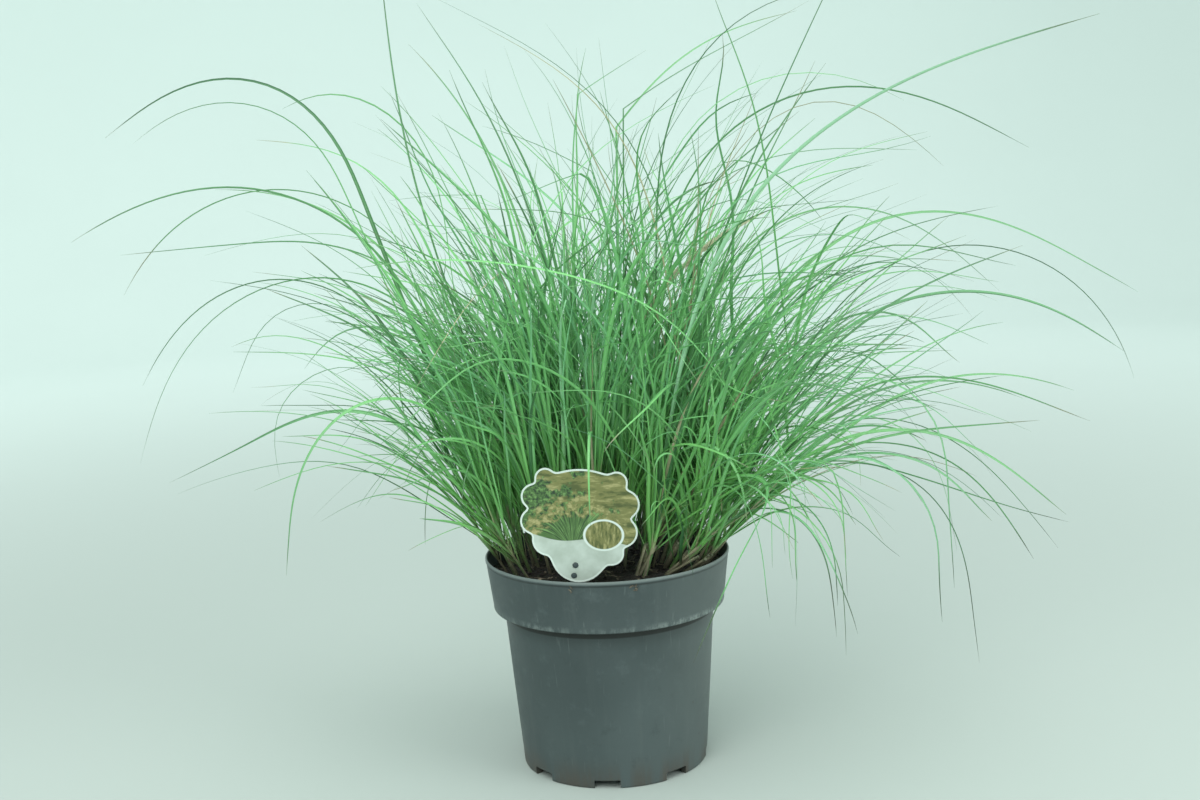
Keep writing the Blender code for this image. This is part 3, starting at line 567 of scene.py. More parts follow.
@dataclass(frozen=True)
class SoilFinish:
    """Moist peat compost, near black, with brown crumbs."""

    peat: Colour = (0.0060, 0.0052, 0.0042)
    brown: Colour = (0.024, 0.017, 0.012)
    crumb: Colour = (0.055, 0.040, 0.028)

    def make(self) -> bpy.types.Material:
        """The finish as a material."""
        finish, shading = new_finish("peat")
        place = shading.object_place()
        lumps = shading.noise(place, 160.0, 6.0, 0.7)
        fine = shading.noise(place, 900.0, 4.0, 0.7)
        colour = shading.mix(lumps.fade(0.40, 0.70), self.peat, self.brown)
        shading.set_surface(
            Base_Color=colour.coats((fine.fade(0.60, 0.80, 0.0, 0.8), self.crumb)),
            Roughness=lumps.fade(0.3, 0.7, 0.95, 0.70), Normal=shading.bump(lumps + fine * 0.4, 0.9, 0.0022),
        )
        return finish


@dataclass(frozen=True)
class LitterFinish:
    """Chips of bark, straw and leaf on the soil, each with its own tone."""

    dark: Colour = (0.014, 0.010, 0.007)
    tan: Colour = (0.29, 0.245, 0.18)

    def make(self) -> bpy.types.Material:
        """The finish as a material."""
        finish, shading = new_finish("litter")
        grain = shading.noise(shading.object_place(), 700.0, 4.0, 0.65)
        tone = shading.attribute("tone")
        share = shading.math("MULTIPLY", tone, grain.fade(0.2, 0.8, 0.7, 1.15), clamp=True)
        shading.set_surface(
            Base_Color=shading.mix(share, self.dark, self.tan), Roughness=grain.fade(0.3, 0.7, 0.95, 0.65),
            Normal=shading.bump(grain, 0.7, 0.0005),
        )
        return finish


@dataclass(frozen=True)
class BladeFinish:
    """Satin green blades with a paler midrib, tan sheaths, straw-coloured dead leaves, dark dry tips, painted
    sheen and shade.
    """

    deep: Colour = (0.017, 0.097, 0.028)
    fresh: Colour = (0.168, 0.480, 0.152)
    # painted shade: the dull grey-green of the outer and high leaf ends, as seen from their unlit side
    arching: Colour = (0.075, 0.165, 0.110)
    bluish: Colour = (0.140, 0.405, 0.190)
    # painted sheen: the mint that the palest-toned leaves take, standing in for light glancing off them
    mint_sheen: Colour = (0.42, 0.68, 0.48)
    spring: Colour = (0.150, 0.420, 0.060)
    rib: Colour = (0.34, 0.62, 0.33)
    sheath: Colour = (0.15, 0.26, 0.06)
    straw: Colour = (0.40, 0.39, 0.24)
    brown: Colour = (0.165, 0.145, 0.085)
    tip: Colour = (0.070, 0.110, 0.068)
    # peat dust, and painted shade at the clump's foot
    peat: Colour = (0.030, 0.026, 0.018)

    def make(self, effects: Effects) -> bpy.types.Material:
        """The finish as a material."""
        finish, shading = new_finish("grass")
        fibre = effects.fibre(shading, 9.0)
        streak = fibre["Streak"]
        _, along = shading.strip_place()
        tone = shading.attribute("tone")
        place = shading.object_place()
        x, _, height = shading.split(place)
        outward = shading.length(shading.stretched(place, 1.0, 1.0, 0.0))
        low = height.fade(0.22, 0.36, 0.65, 0.0) * tone.fade(0.05, 0.35) * outward.fade(0.10, 0.22, 1.0, 0.0)
        high = height.fade(0.44, 0.60, 0.0, 0.40)
        # painted shade: how far out or up a leaf end is, which darkens it
        away = shading.math("MAXIMUM", outward.fade(0.15, 0.30, 0.0, 0.50), high)
        rib = fibre["Rib"] * tone.fade(0.15, 0.90, 0.20, 0.75)
        blotch = streak.fade(0.25, 0.65, -0.25, 0.25)
        withered = (shading.attribute("dry") + blotch * 0.5).fade(0.25, 0.75)
        straw = shading.mix(streak.fade(0.45, 0.75), self.straw, self.brown)
        old_feet = height.fade(0.185, 0.240, 0.80, 0.0) * x.fade(-0.055, -0.015, 1.0, 0.0)
        colour = shading.mix(tone.fade(0.02, 0.42), self.deep, self.fresh).coats(
            (tone.fade(0.42, 0.78), self.bluish),
            # painted sheen on the palest-toned leaves
            (tone.fade(0.80, 1.00, 0.0, 0.85), self.mint_sheen),
            (streak.fade(0.45, 0.72, 0.0, 0.35), self.fresh),
            (low, self.spring),
            (along.fade(0.0, 0.12, 0.60, 0.0), self.sheath),
            # painted shade on the outer and high leaf ends
            (away * tone.fade(0.85, 0.98, 1.0, 0.0), self.arching),
            (rib, self.rib),
            (fibre["Vein"] * 0.10, self.rib),
            (withered, straw),
            (along.fade(0.82, 1.0, 0.0, 0.65), self.tip),
            (old_feet * streak.fade(0.40, 0.58, 0.25, 1.0), self.brown),
            # painted shade and peat dust: leaves darken towards the soil
            (height.fade(0.172, 0.205, 0.75, 0.0), self.peat),
        )
        shading.set_surface(
            Base_Color=colour, Roughness=streak.fade(0.2, 0.8, 0.30, 0.50) + withered * 0.30,
            Normal=shading.bump(fibre["Vein"], 0.35, 0.00012),
            Subsurface_Weight=0.12, Subsurface_Radius=(0.0006, 0.0014, 0.0005),
        )
        return finish


@dataclass(frozen=True)
class PlumeFinish:
    """Dry straw with silvery hairs."""

    stalk: Colour = (0.24, 0.29, 0.12)
    straw: Colour = (0.52, 0.51, 0.34)
    pale: Colour = (0.74, 0.75, 0.60)

    def make(self, effects: Effects) -> bpy.types.Material:
        """The finish as a material."""
        finish, shading = new_finish("plume_straw")
        fibre = effects.fibre(shading, 5.0)
        _, along = shading.strip_place()
        tone = shading.attribute("tone")
        colour = shading.mix(shading.attribute("dry"), self.stalk, self.straw).coats(
            (tone * along.fade(0.0, 1.0, 0.3, 0.9), self.pale),
            (fibre["Streak"].fade(0.5, 0.8, 0.0, 0.35), self.stalk),
        )
        shading.set_surface(
            Base_Color=colour, Roughness=tone.fade(0.0, 1.0, 0.60, 0.85),
            Normal=shading.bump(fibre["Vein"], 0.3, 0.0001),
        )
        return finish


@dataclass(frozen=True)
class CardFinish:
    """A printed card: a white edge, a made-up meadow above, a round inset and a bare pale foot."""

    white: Colour = (0.56, 0.64, 0.60)
    foot: Colour = (0.34, 0.40, 0.35)
    olive: Colour = (0.062, 0.080, 0.020)
    tan: Colour = (0.155, 0.162, 0.052)
    wheat: Colour = (0.310, 0.295, 0.130)
    leaf: Colour = (0.052, 0.118, 0.030)
    fresh: Colour = (0.150, 0.280, 0.090)
    shade: Colour = (0.012, 0.028, 0.013)
    tuft_place: Spot = (-0.006, 0.028)
    inset_place: Spot = (0.0190, 0.0400)
    inset_size: Spot = (0.0165, 0.0128)

    def _fan(self, shading: Shading, x: Value, y: Value, turns: float, along: float) -> tuple[Value, Value]:
        """Fine arching lines that fan out from the foot of the printed tuft.

        Args:
            shading: The tree to draw in.
            x: The place across the card, in metres.
            y: The place up the card, in metres.
            turns: How close the lines lie to each other.
            along: How often they change along their length.

        Returns:
            The lines, as a value about 0.5, and the distance from the foot.
        """
        across = x - self.tuft_place[0]
        up = y - self.tuft_place[1]
        far = shading.distance(across, up)
        bent = shading.math("ARCTAN2", across, up) - across * far * 190.0
        return shading.noise(shading.joined(bent * turns, far * along), 1.0, 5.0, 0.6), far

    def make(self, effects: Effects) -> bpy.types.Material:
        """The printed face as a material."""
        finish, shading = new_finish("printed_card")
        grime = effects.grime(shading, 0.05)
        x, y, _ = shading.split(shading.stretched(shading.add("UVMap", uv_map="print"), 0.1, 0.1, 1.0))
        x = x - 0.05
        spot = shading.joined(x, y)
        lean = (0.0, 0.0, math.radians(-14.0))
        slant = shading.add("Mapping", {"Vector": spot, "Rotation": lean, "Scale": (48.0, 190.0, 1.0)})
        ripe = (self.olive, self.tan, self.wheat)
        green = (self.shade, self.leaf, self.fresh)
        plumes = shading.noise(slant, 1.0, 6.0, 0.62)
        scrub = shading.noise(spot, 330.0, 5.0, 0.65)
        husks = shading.noise(shading.stretched(spot, 420.0, 110.0, 1.0), 1.0, 5.0, 0.6)
        blades, far = self._fan(shading, x, y, 22.0, 45.0)
        ears, _ = self._fan(shading, x, y, 9.0, 190.0)
        thicket = shading.noise(spot, 52.0, 4.0, 0.6) + x * -3.0
        bushes = shading.bands(scrub, *green, 0.40, 0.50, 0.52, 0.64)
        meadow = shading.bands(plumes, *ripe, 0.38, 0.50, 0.52, 0.64)
        meadow = meadow.coats((thicket.fade(0.52, 0.58), bushes))
        cover = far + (shading.noise(spot, 70.0, 4.0, 0.65) * 0.030 - 0.015)
        tuft = shading.bands(blades, *green, 0.38, 0.50, 0.52, 0.62)
        band = cover.fade(0.027, 0.031) * cover.fade(0.041, 0.046, 1.0, 0.0)
        meadow = shading.mix(cover.fade(0.036, 0.040), tuft, meadow).coats(
            (band * ears.fade(0.42, 0.50), shading.bands(ears, *ripe, 0.36, 0.50, 0.50, 0.62)),
        )
        line = shading.math("SINE", x * 95.0) * 0.0022 + 0.0360 + x * -0.08
        pale = shading.mix(shading.noise(spot, 60.0, 3.0).fade(0.3, 0.7, 0.0, 0.5), self.foot, self.white)
        off_x = (x - self.inset_place[0]) / self.inset_size[0]
        off_y = (y - self.inset_place[1]) / self.inset_size[1]
        from_inset = shading.distance(off_x, off_y)
        colour = shading.mix((y - line).fade(-0.0003, 0.0003), pale, meadow).coats(
            (from_inset.fade(1.00, 1.04, 1.0, 0.0), self.white),
            (from_inset.fade(0.88, 0.92, 1.0, 0.0), shading.bands(husks, *ripe, 0.36, 0.52, 0.52, 0.66)),
            (grime["Speck"] * 0.6, self.shade),
        )
        shading.set_surface(
            Base_Color=colour, Roughness=grime["Cloud"].fade(0.0, 1.0, 0.28, 0.42),
            Normal=shading.bump(grime["Grain"], 0.15, 0.00003),
        )
        return finish

    def make_edge(self, effects: Effects) -> bpy.types.Material:
        """The card's white edge and back as a material."""
        finish, shading = new_finish("card_white")
        grime = effects.grime(shading, 0.12)
        colour = shading.mix(grime["Cloud"] * 0.35, self.white, self.foot)
        shading.set_surface(
            Base_Color=colour.coats((grime["Speck"] * 0.5, self.shade)),
            Roughness=grime["Cloud"].fade(0.0, 1.0, 0.30, 0.45),
            Normal=shading.bump(grime["Grain"], 0.15, 0.00003),
        )
        return finish


@dataclass(frozen=True)
class StakeFinish:
    """Dark moulded plastic, a little dusty."""

    dark: Colour = (0.030, 0.047, 0.050)
    dust: Colour = (0.120, 0.140, 0.135)

    def make(self, effects: Effects) -> bpy.types.Material:
        """The finish as a material."""
        finish, shading = new_finish("stake_plastic")
        grime = effects.grime(shading, 0.2, 2.0)
        colour = shading.mix(grime["Cloud"] * 0.5, self.dark, self.dust)
        shading.set_surface(
            Base_Color=colour.coats((grime["Speck"] * 0.5, self.dust)),
            Roughness=grime["Cloud"].fade(0.0, 1.0, 0.38, 0.60),
            Normal=shading.bump(grime["Grain"], 0.3, 0.00005),
        )
        return finish


@dataclass(frozen=True)
class StudioFinish:
    """The plain pale floor, with painted shade: darker round the pot and towards the right than far away."""

    # near carries the painted shade round the pot and on the right
    near: Colour = (0.375, 0.425, 0.402)
    far: Colour = (0.71, 0.79, 0.765)

    def make(self) -> bpy.types.Material:
        """The finish as a material."""
        finish, shading = new_finish("studio_floor")
        place = shading.object_place()
        across, _, _ = shading.split(place)
        # painted shade: darker round the pot than far away
        colour = shading.mix(shading.length(place).fade(0.6, 3.2), self.near, self.far).coats(
            # painted shadow: darker towards the right
            (across.fade(0.2, 2.4, 0.0, 0.30), self.near),
            (shading.noise(place, 1.5, 3.0).fade(0.3, 0.7, 0.0, 0.03), self.near),
        )
        shading.set_surface(Base_Color=colour, Roughness=0.9)
        return finish


@dataclass(frozen=True)
class PotSizes:
    """The pot's sizes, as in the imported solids."""

    height: float = 0.185
    rim_radius: float = 0.1055
    collar_depth: float = 0.045
    collar_foot_radius: float = 0.1002
    collar_edge: float = 0.0012
    neck_radius: float = 0.0912
    base_radius: float = 0.0805
    base_edge: float = 0.0015
    wall: float = 0.0018
    foot_ring_width: float = 0.006
    pad_radius: float = 0.030
    floor_rise: float = 0.003
    floor_top: float = 0.0048
    floor_fillet: float = 0.003
    centre: float = 0.004
    bead: float = 0.0006
    bow: float = 0.5
    notches: int = 8
    notch_start: float = -51.0
    notch_width: float = 0.022
    notch_height: float = 0.0075
    notch_corner: float = 0.0012
    drain_holes: int = 6
    drain_circle: float = 0.052
    drain_radius: float = 0.006


POT = PotSizes()


@dataclass
class Pot:
    """The nursery pot: a turned wall with a deep collar, notches in its foot and holes in its floor."""

    sizes: PotSizes = POT
    sides: int = 180
    fillet_steps: int = 4

    def _arc(self, centre: Spot, radius: float, start: float, end: float) -> list[Spot]:
        """Points on an arc in the half section, from one angle in degrees to another."""
        points = []
        for step in range(self.fillet_steps + 1):
            angle = math.radians(start + (end - start) * step / self.fillet_steps)
            points.append((centre[0] + radius * math.cos(angle), centre[1] + radius * math.sin(angle)))
        return points

    def _profile(self) -> list[Spot]:
        """The half section, from the middle of the floor up the inside and down the outside."""
        s = self.sizes
        ledge = s.height - s.collar_depth
        fillet = s.base_radius - s.wall - s.floor_fillet
        inner_neck = s.neck_radius - s.wall
        inner_foot = s.collar_foot_radius - s.wall
        edge = s.collar_edge
        profile = [(s.centre, s.floor_top), (fillet, s.floor_top)]
        profile += self._arc((fillet, s.floor_top + s.floor_fillet), s.floor_fillet, -90, 0)[1:]
        profile += [(inner_neck, ledge + s.wall - 0.001)]
        profile += self._arc((inner_neck + 0.0012, ledge + s.wall - 0.0012), 0.0012, 180, 90)
        profile += [(inner_foot - 0.001, ledge + s.wall), (inner_foot, ledge + s.wall + 0.001)]
        profile += [(s.rim_radius - s.wall, s.height - s.wall)]
        profile += self._arc((s.rim_radius - s.wall / 2, s.height - s.wall / 2), s.wall / 2, 180, 0)[1:]
        profile += [(s.rim_radius - 0.0001, s.height - 0.0030), (s.rim_radius - s.bead, s.height - 0.0036)]
        middle = (s.rim_radius + s.collar_foot_radius) / 2 - s.bead * s.bow
        profile += [(middle, s.height - s.collar_depth / 2), (s.collar_foot_radius, ledge + 2 * edge)]
        profile += self._arc((s.collar_foot_radius - edge, ledge + edge), edge, 0, -90)
        profile += [(s.neck_radius + 0.0010, ledge)]
        profile += self._arc((s.neck_radius + 0.0008, ledge - 0.0010), 0.0010, 90, 180)
        profile += [(s.base_radius + (s.neck_radius - s.base_radius) * s.bow, ledge / 2)]
        profile += [(s.base_radius, s.base_edge + 0.0005)]
        profile += self._arc((s.base_radius - s.base_edge, s.base_edge), s.base_edge, 0, -90)
        ring = s.base_radius - s.foot_ring_width
        profile += [(ring, 0.0), (ring - s.floor_rise / 2, s.floor_rise)]
        profile += [(s.pad_radius + s.floor_rise / 2, s.floor_rise), (s.pad_radius, 0.0), (s.centre, 0.0)]
        return profile

    def _turn(self) -> Piece:
        """Extrudes a ring along the half section and closes it at both ends."""
        profile = self._profile()
        piece = add_ring("nursery_pot", self.sides, *profile[0])
        with editing(piece):
            bpy.ops.mesh.select_all(action="SELECT")
            bpy.ops.mesh.duplicate()
            bpy.ops.mesh.edge_face_add()
        with editing(piece) as shape:
            select_where(shape.edges, lambda edge: not edge.link_faces)
            extrude_rings(profile)
            bpy.ops.mesh.edge_face_add()
        face_outwards(piece)
        return piece

    def _tools(self) -> list[Piece]:
        """Blocks for the notches and rods for the drain holes."""
        s = self.sizes
        tools = []
        for index in range(s.notches):
            angle = math.radians(s.notch_start + 360.0 * index / s.notches)
            size = (3 * s.foot_ring_width, s.notch_width, 2 * s.notch_height)
            place = (s.base_radius * math.cos(angle), s.base_radius * math.sin(angle), 0.0)
            block = add_block("notch", size, place, angle)
            apply_modifier(block, "BEVEL", width=s.notch_corner, segments=3)
            tools.append(block)
        for index in range(s.drain_holes):
            angle = math.tau * index / s.drain_holes
            place = (s.drain_circle * math.cos(angle), s.drain_circle * math.sin(angle), s.floor_top / 2)
            tools.append(add_rod("drain", 40, s.drain_radius, 4 * s.floor_top, place))
        return tools

    def build(self, effects: Effects) -> Piece:
        """Builds and dresses the pot.

        Args:
            effects: The shared shader groups.

        Returns:
            The pot.
        """
        piece = self._turn()
        cut(piece, self._tools())
        smooth(piece, 32.0)
        dress(piece, PotFinish().make(effects, self.sizes))
        add_to_object(piece, Slot.POT, "pot")
        return piece


@dataclass
class Soil:
    """The block of compost, lumpy on top, with litter lying on it."""

    top: float = 0.170
    gap: float = 0.0006
    lump: float = 0.0052
    crumbs: int = 900
    strands: int = 60
    stuck: tuple[float, ...] = (-107.0, -79.5, -77.5)
    bits_at_each: int = 3
    top_sides: int = 144
    mound: float = 0.0022
    pot: PotSizes = POT

    def _top_radius(self) -> float:
        """The soil's radius at its top, just inside the pot's tapering collar."""
        s = self.pot
        ledge = s.height - s.collar_depth + s.wall
        foot = s.collar_foot_radius - s.wall
        share = (self.top - ledge) / (s.height - ledge)
        return foot + share * (s.rim_radius - s.wall - foot) - self.gap

    def surface(self, x: float, y: float) -> float:
        """The height of the soil's top at a place."""
        radius = math.hypot(x, y) / self._top_radius()
        mound = self.mound * (1.0 - radius * radius)
        rolling = noise.noise(Vector((x * 28.0, y * 28.0, 3.1)))
        lumps = noise.noise(Vector((x * 95.0, y * 95.0, 7.7)))
        crumbs = noise.noise(Vector((x * 310.0, y * 310.0, 1.3)))
        return self.top + mound + self.lump * (0.45 * rolling + 0.30 * lumps + 0.16 * crumbs)

    def _block(self) -> Piece:
        """The block: a gridded disc, its rim extruded down inside the pot, its top shaped by the surface."""
        s = self.pot
        ledge = s.height - s.collar_depth + s.wall + self.gap
        rings = [
            (self._top_radius(), self.top), (s.collar_foot_radius - s.wall - self.gap, ledge),
            (s.neck_radius - s.wall - self.gap, ledge),
            (s.base_radius - s.wall - self.gap - 0.002, s.floor_top + self.gap),
        ]
        piece = add_ring("compost", self.top_sides, *rings[0])
        with editing(piece):
            bpy.ops.mesh.select_all(action="SELECT")
            bpy.ops.mesh.fill_grid(span=self.top_sides // 4)
            bpy.ops.mesh.subdivide(number_cuts=3)
        with editing(piece) as shape:
            select_where(shape.edges, lambda edge: len(edge.link_faces) == 1)
            extrude_rings(rings)
            bpy.ops.mesh.edge_face_add()
        face_outwards(piece)
        for vertex in piece.data.vertices:
            if vertex.co.z > self.top - 0.0005:
                vertex.co.z = self.surface(vertex.co.x, vertex.co.y)
        smooth(piece, 60.0)
        dress(piece, SoilFinish().make())
        return piece

    def _litter(self) -> Piece:
        """Crumbs, chips and strands scattered over the top, as one mesh."""
        rng = random.Random(SEED + 3)
        strips = StripSet()
        reach = self._top_radius() - 0.004
        for index in range(self.crumbs + self.strands):
            radius = reach * math.sqrt(rng.random())
            angle = rng.uniform(0.0, math.tau)
            place = Vector((radius * math.cos(angle), radius * math.sin(angle), 0.0))
            way = rng.uniform(0.0, 360.0)
            if index < self.crumbs:
                long, wide = rng.uniform(0.0015, 0.0050), rng.uniform(0.0004, 0.0013)
                pieces, bright = 3, rng.random() ** 9.0
            else:
                long, wide = rng.uniform(0.012, 0.034), rng.uniform(0.0003, 0.0007)
                pieces, bright = 10, rng.uniform(0.02, 0.55)
            bend = rng.gauss(0.0, 50.0)
            share = np.linspace(0.0, 1.0, pieces + 1)
            azimuths = way + bend * share
            points = []
            for part, heading in zip(share, azimuths):
                spot = place + direction(heading, 90.0) * (long * (part - 0.5))
                spot *= min(1.0, reach / max(spot.length, 0.001))
                lift = 0.0004 + 0.0010 * rng.random()
                points.append((spot.x, spot.y, self.surface(spot.x, spot.y) + lift))
            swell = 0.35 + 0.65 * np.sin(math.pi * (0.15 + 0.7 * share))
            roll = rng.uniform(-40, 40)
            strips.add(np.array(points), azimuths, wide * swell, roll, Across.THIN, bright, 0.0)
        for angle in self.stuck:
            self._add_stuck_bits(strips, rng, angle)
        return strips.build("soil_litter", LitterFinish().make())

    def _add_stuck_bits(self, strips: "StripSet", rng: random.Random, angle: float) -> None:
        """Adds a few dry bits that cling to the pot just under its rim, about one azimuth."""
        s = self.pot
        for _ in range(self.bits_at_each):
            around = angle + rng.gauss(0.0, 1.6)
            height = s.height - rng.uniform(0.0042, 0.0085)
            slope = math.radians(rng.uniform(-70.0, 70.0))
            half = rng.uniform(0.0010, 0.0024)
            points = []
            for step in (-1.0, -0.3, 0.4, 1.0):
                turn = math.radians(around) + step * half * math.cos(slope) / s.rim_radius
                radius = s.rim_radius - 0.0004 + 0.0004 * step * step
                up = step * half * math.sin(slope)
                points.append((radius * math.cos(turn), radius * math.sin(turn), height + up))
            widths = rng.uniform(0.0003, 0.0007) * np.array([0.4, 1.0, 0.9, 0.3])
            tone = rng.uniform(0.05, 0.55)
            strips.add(np.array(points), around + 90.0, widths, 90.0, Across.THIN, tone, 0.0)

    def build(self) -> tuple[Piece, Piece]:
        """Builds and dresses the soil and its litter."""
        block = self._block()
        litter = self._litter()
        add_to_object(block, Slot.SOIL, "soil")
        add_to_object(litter, Slot.SOIL)
        return block, litter


@dataclass
class Label:
    """A scalloped card on a pointed stake with two pegs."""

    thickness: float = 0.0010
    place: Point = (-0.0235, -0.0770, 0.1775)
    tilt: float = 4.0
    turn: float = -3.5
    cusps: tuple[Point, ...] = (
        (0.0216, 0.0157, 0.0068),
        (0.0352, 0.0296, 0.0093),
        (0.0403, 0.0538, 0.0098),
        (0.0367, 0.0779, 0.0088),
        (0.0216, 0.0896, 0.0043),
        (-0.0216, 0.0903, 0.0088),
        (-0.0374, 0.0820, 0.0093),
        (-0.0425, 0.0611, 0.0088),
        (-0.0389, 0.0398, 0.0062),
        (-0.0244, 0.0223, 0.0186),
    )
    steps: int = 16
    softening: int = 3
    border: float = 0.0015
    peg_heights: Spot = (0.0062, 0.0148)
    peg_offsets: Spot = (-0.0046, -0.0036)
    peg_radius: float = 0.0022
    peg_head: float = 0.0006
    stake_width: float = 0.009
    stake_thickness: float = 0.0014
    stake_top: float = 0.022
    stake_depth: float = 0.062
    stake_foot_share: float = 0.35
    gap: float = 0.0003

    def frame(self) -> Matrix:
        """From the card's plane (x across, y up, z towards the front) to its place in the pot."""
        stand = Matrix.Rotation(math.radians(90.0 - self.tilt), 4, "X")
        turn = Matrix.Rotation(math.radians(self.turn), 4, "Z")
        return Matrix.Translation(self.place) @ stand @ turn

    @staticmethod
    def _scallop(start: Vector, end: Vector, bulge: float, steps: int) -> list[Vector]:
        """Points on an arc that stands out to the right of the way from start to end."""
        chord = end - start
        half = chord.length / 2
        radius = (half * half + bulge * bulge) / (2 * bulge)
        along = chord.normalized()
        outward = Vector((along.y, -along.x))
        centre = start + chord / 2 - outward * (radius - bulge)
        sweep = 2 * math.asin(min(1.0, half / radius))
        if bulge > half:
            sweep = math.tau - sweep
        spoke = start - centre
        return [centre + Matrix.Rotation(sweep * step / steps, 2) @ spoke for step in range(steps)]

    def _outline(self) -> list[Vector]:
        """The card's edge in its own plane, anticlockwise."""
        points: list[Vector] = []
        for index, (x, height, bulge) in enumerate(self.cusps):
            following = self.cusps[(index + 1) % len(self.cusps)]
            points += self._scallop(Vector((x, height)), Vector(following[:2]), bulge, self.steps)
        return self._with_soft_notches(points)

    def _with_soft_notches(self, points: list[Vector]) -> list[Vector]:
        """The same outline, each point drawn towards the middle of its neighbours."""
        for _ in range(self.softening):
            before, after = points[-1:] + points[:-1], points[1:] + points[:1]
            points = [spot.lerp((low + high) / 2, 0.5) for spot, low, high in zip(points, before, after)]
        return points

    def build_card(self, effects: Effects) -> Piece:
        """Builds and dresses the card.

        Args:
            effects: The shared shader groups.

        Returns:
            The card.
        """
        outline = self._outline()
        piece = add_ring("scalloped_card", len(outline), 1.0)
        for vertex, spot in zip(piece.data.vertices, outline):
            vertex.co = (spot.x, spot.y, self.thickness / 2)
        with editing(piece):
            bpy.ops.mesh.select_all(action="SELECT")
            bpy.ops.mesh.edge_face_add()
            bpy.ops.mesh.extrude_region_move(TRANSFORM_OT_translate={"value": (0.0, 0.0, -self.thickness)})
        face_outwards(piece)
        finish = CardFinish()
        dress(piece, finish.make_edge(effects))
        piece.data.materials.append(finish.make(effects))
        with editing(piece) as shape:
            select_where(shape.faces, lambda face: face.normal.z > 0.9)
            bpy.ops.mesh.inset(thickness=self.border, use_boundary=True)
            piece.active_material_index = 1
            bpy.ops.object.material_slot_assign()
        self._print(piece)
        radius = self.peg_radius + self.gap
        cut(piece, [
            add_rod("hole", 32, radius, 4 * self.thickness, (x, y, 0.0))
            for x, y in zip(self.peg_offsets, self.peg_heights)
        ])
        piece.data.transform(self.frame())
        smooth(piece, 30.0)
        add_to_object(piece, Slot.CARD, "label_card")
        return piece

    @staticmethod
    def _print(piece: Piece) -> None:
        """Maps the print on the card, ten centimetres to the map's width."""
        mesh = piece.data
        layer = mesh.uv_layers.new(name="print")
        for loop in mesh.loops:
            spot = mesh.vertices[loop.vertex_index].co
            layer.data[loop.index].uv = (spot.x * 10.0 + 0.5, spot.y * 10.0)

    def build_stake(self, effects: Effects) -> Piece:
        """Builds and dresses the stake with its pegs.

        Args:
            effects: The shared shader groups.

        Returns:
            The stake.
        """
        back = -self.thickness / 2 - self.gap - self.stake_thickness / 2
        middle_x = sum(self.peg_offsets) / 2
        middle_y = (self.stake_top - self.stake_depth) / 2
        size = (self.stake_width, self.stake_top + self.stake_depth, self.stake_thickness)
        piece = add_block("stake_blade", size, (middle_x, middle_y, back))
        with editing(piece) as shape:
            select_where(shape.verts, lambda vertex: vertex.co.y < middle_y)
            bpy.ops.transform.resize(
                value=(self.stake_foot_share, 1.0, 1.0), center_override=(middle_x, -self.stake_depth, back),
            )
        apply_modifier(piece, "BEVEL", width=0.0003, segments=2)
        parts = [piece]
        length = self.thickness / 2 + self.peg_head - back
        for x, y in zip(self.peg_offsets, self.peg_heights):
            peg = add_rod("peg", 32, self.peg_radius, length, (x, y, back + length / 2))
            apply_modifier(peg, "BEVEL", width=0.0004, segments=3)
            parts.append(peg)
        whole = join(parts, "label_stake_pegs")
        whole.data.transform(self.frame())
        smooth(whole, 35.0)
        dress(whole, StakeFinish().make(effects))
        add_to_object(whole, Slot.STAKE, "label_stake")
        return whole


LABEL = Label()


def ease(share: float) -> float:
    """A smooth step from 0 to 1."""
    held = min(max(share, 0.0), 1.0)
    return held * held * (3.0 - 2.0 * held)


def direction(azimuth: float, lean: float) -> Vector:
    """The way that this azimuth and lean point, as a unit vector."""
    around = math.radians(azimuth)
    tip = math.radians(lean)
    return Vector((math.sin(tip) * math.cos(around), math.sin(tip) * math.sin(around), math.cos(tip)))


@dataclass(frozen=True)
class GrassSizes:
    """Sizes of blades and sheaths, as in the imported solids."""

    half_width: float = 0.0023
    sheath_scale: float = 1.5
    sheath_top_scale: float = 1.15
    foot_scale: float = 0.60
    tip_scale: float = 0.14
    sheath: float = 0.055
    feet: tuple[float, ...] = (1.0, 0.72, 0.50, 0.85)
    soil_top: float = 0.170
    plant_depth: float = 0.009
    path_steps: int = 48
    piece_turn: float = 26.0
    straight_share: float = 40.0
    tries: int = 80


GRASS = GrassSizes()


def blade_scale(share: float) -> float:
    """A blade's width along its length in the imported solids, as a share of its full width."""
    if share < 0.12:
        return GRASS.foot_scale + (1.0 - GRASS.foot_scale) * share / 0.12
    if share < 0.55:
        return 1.0
    return 1.0 - (1.0 - GRASS.tip_scale) * ((share - 0.55) / 0.45) ** 1.3


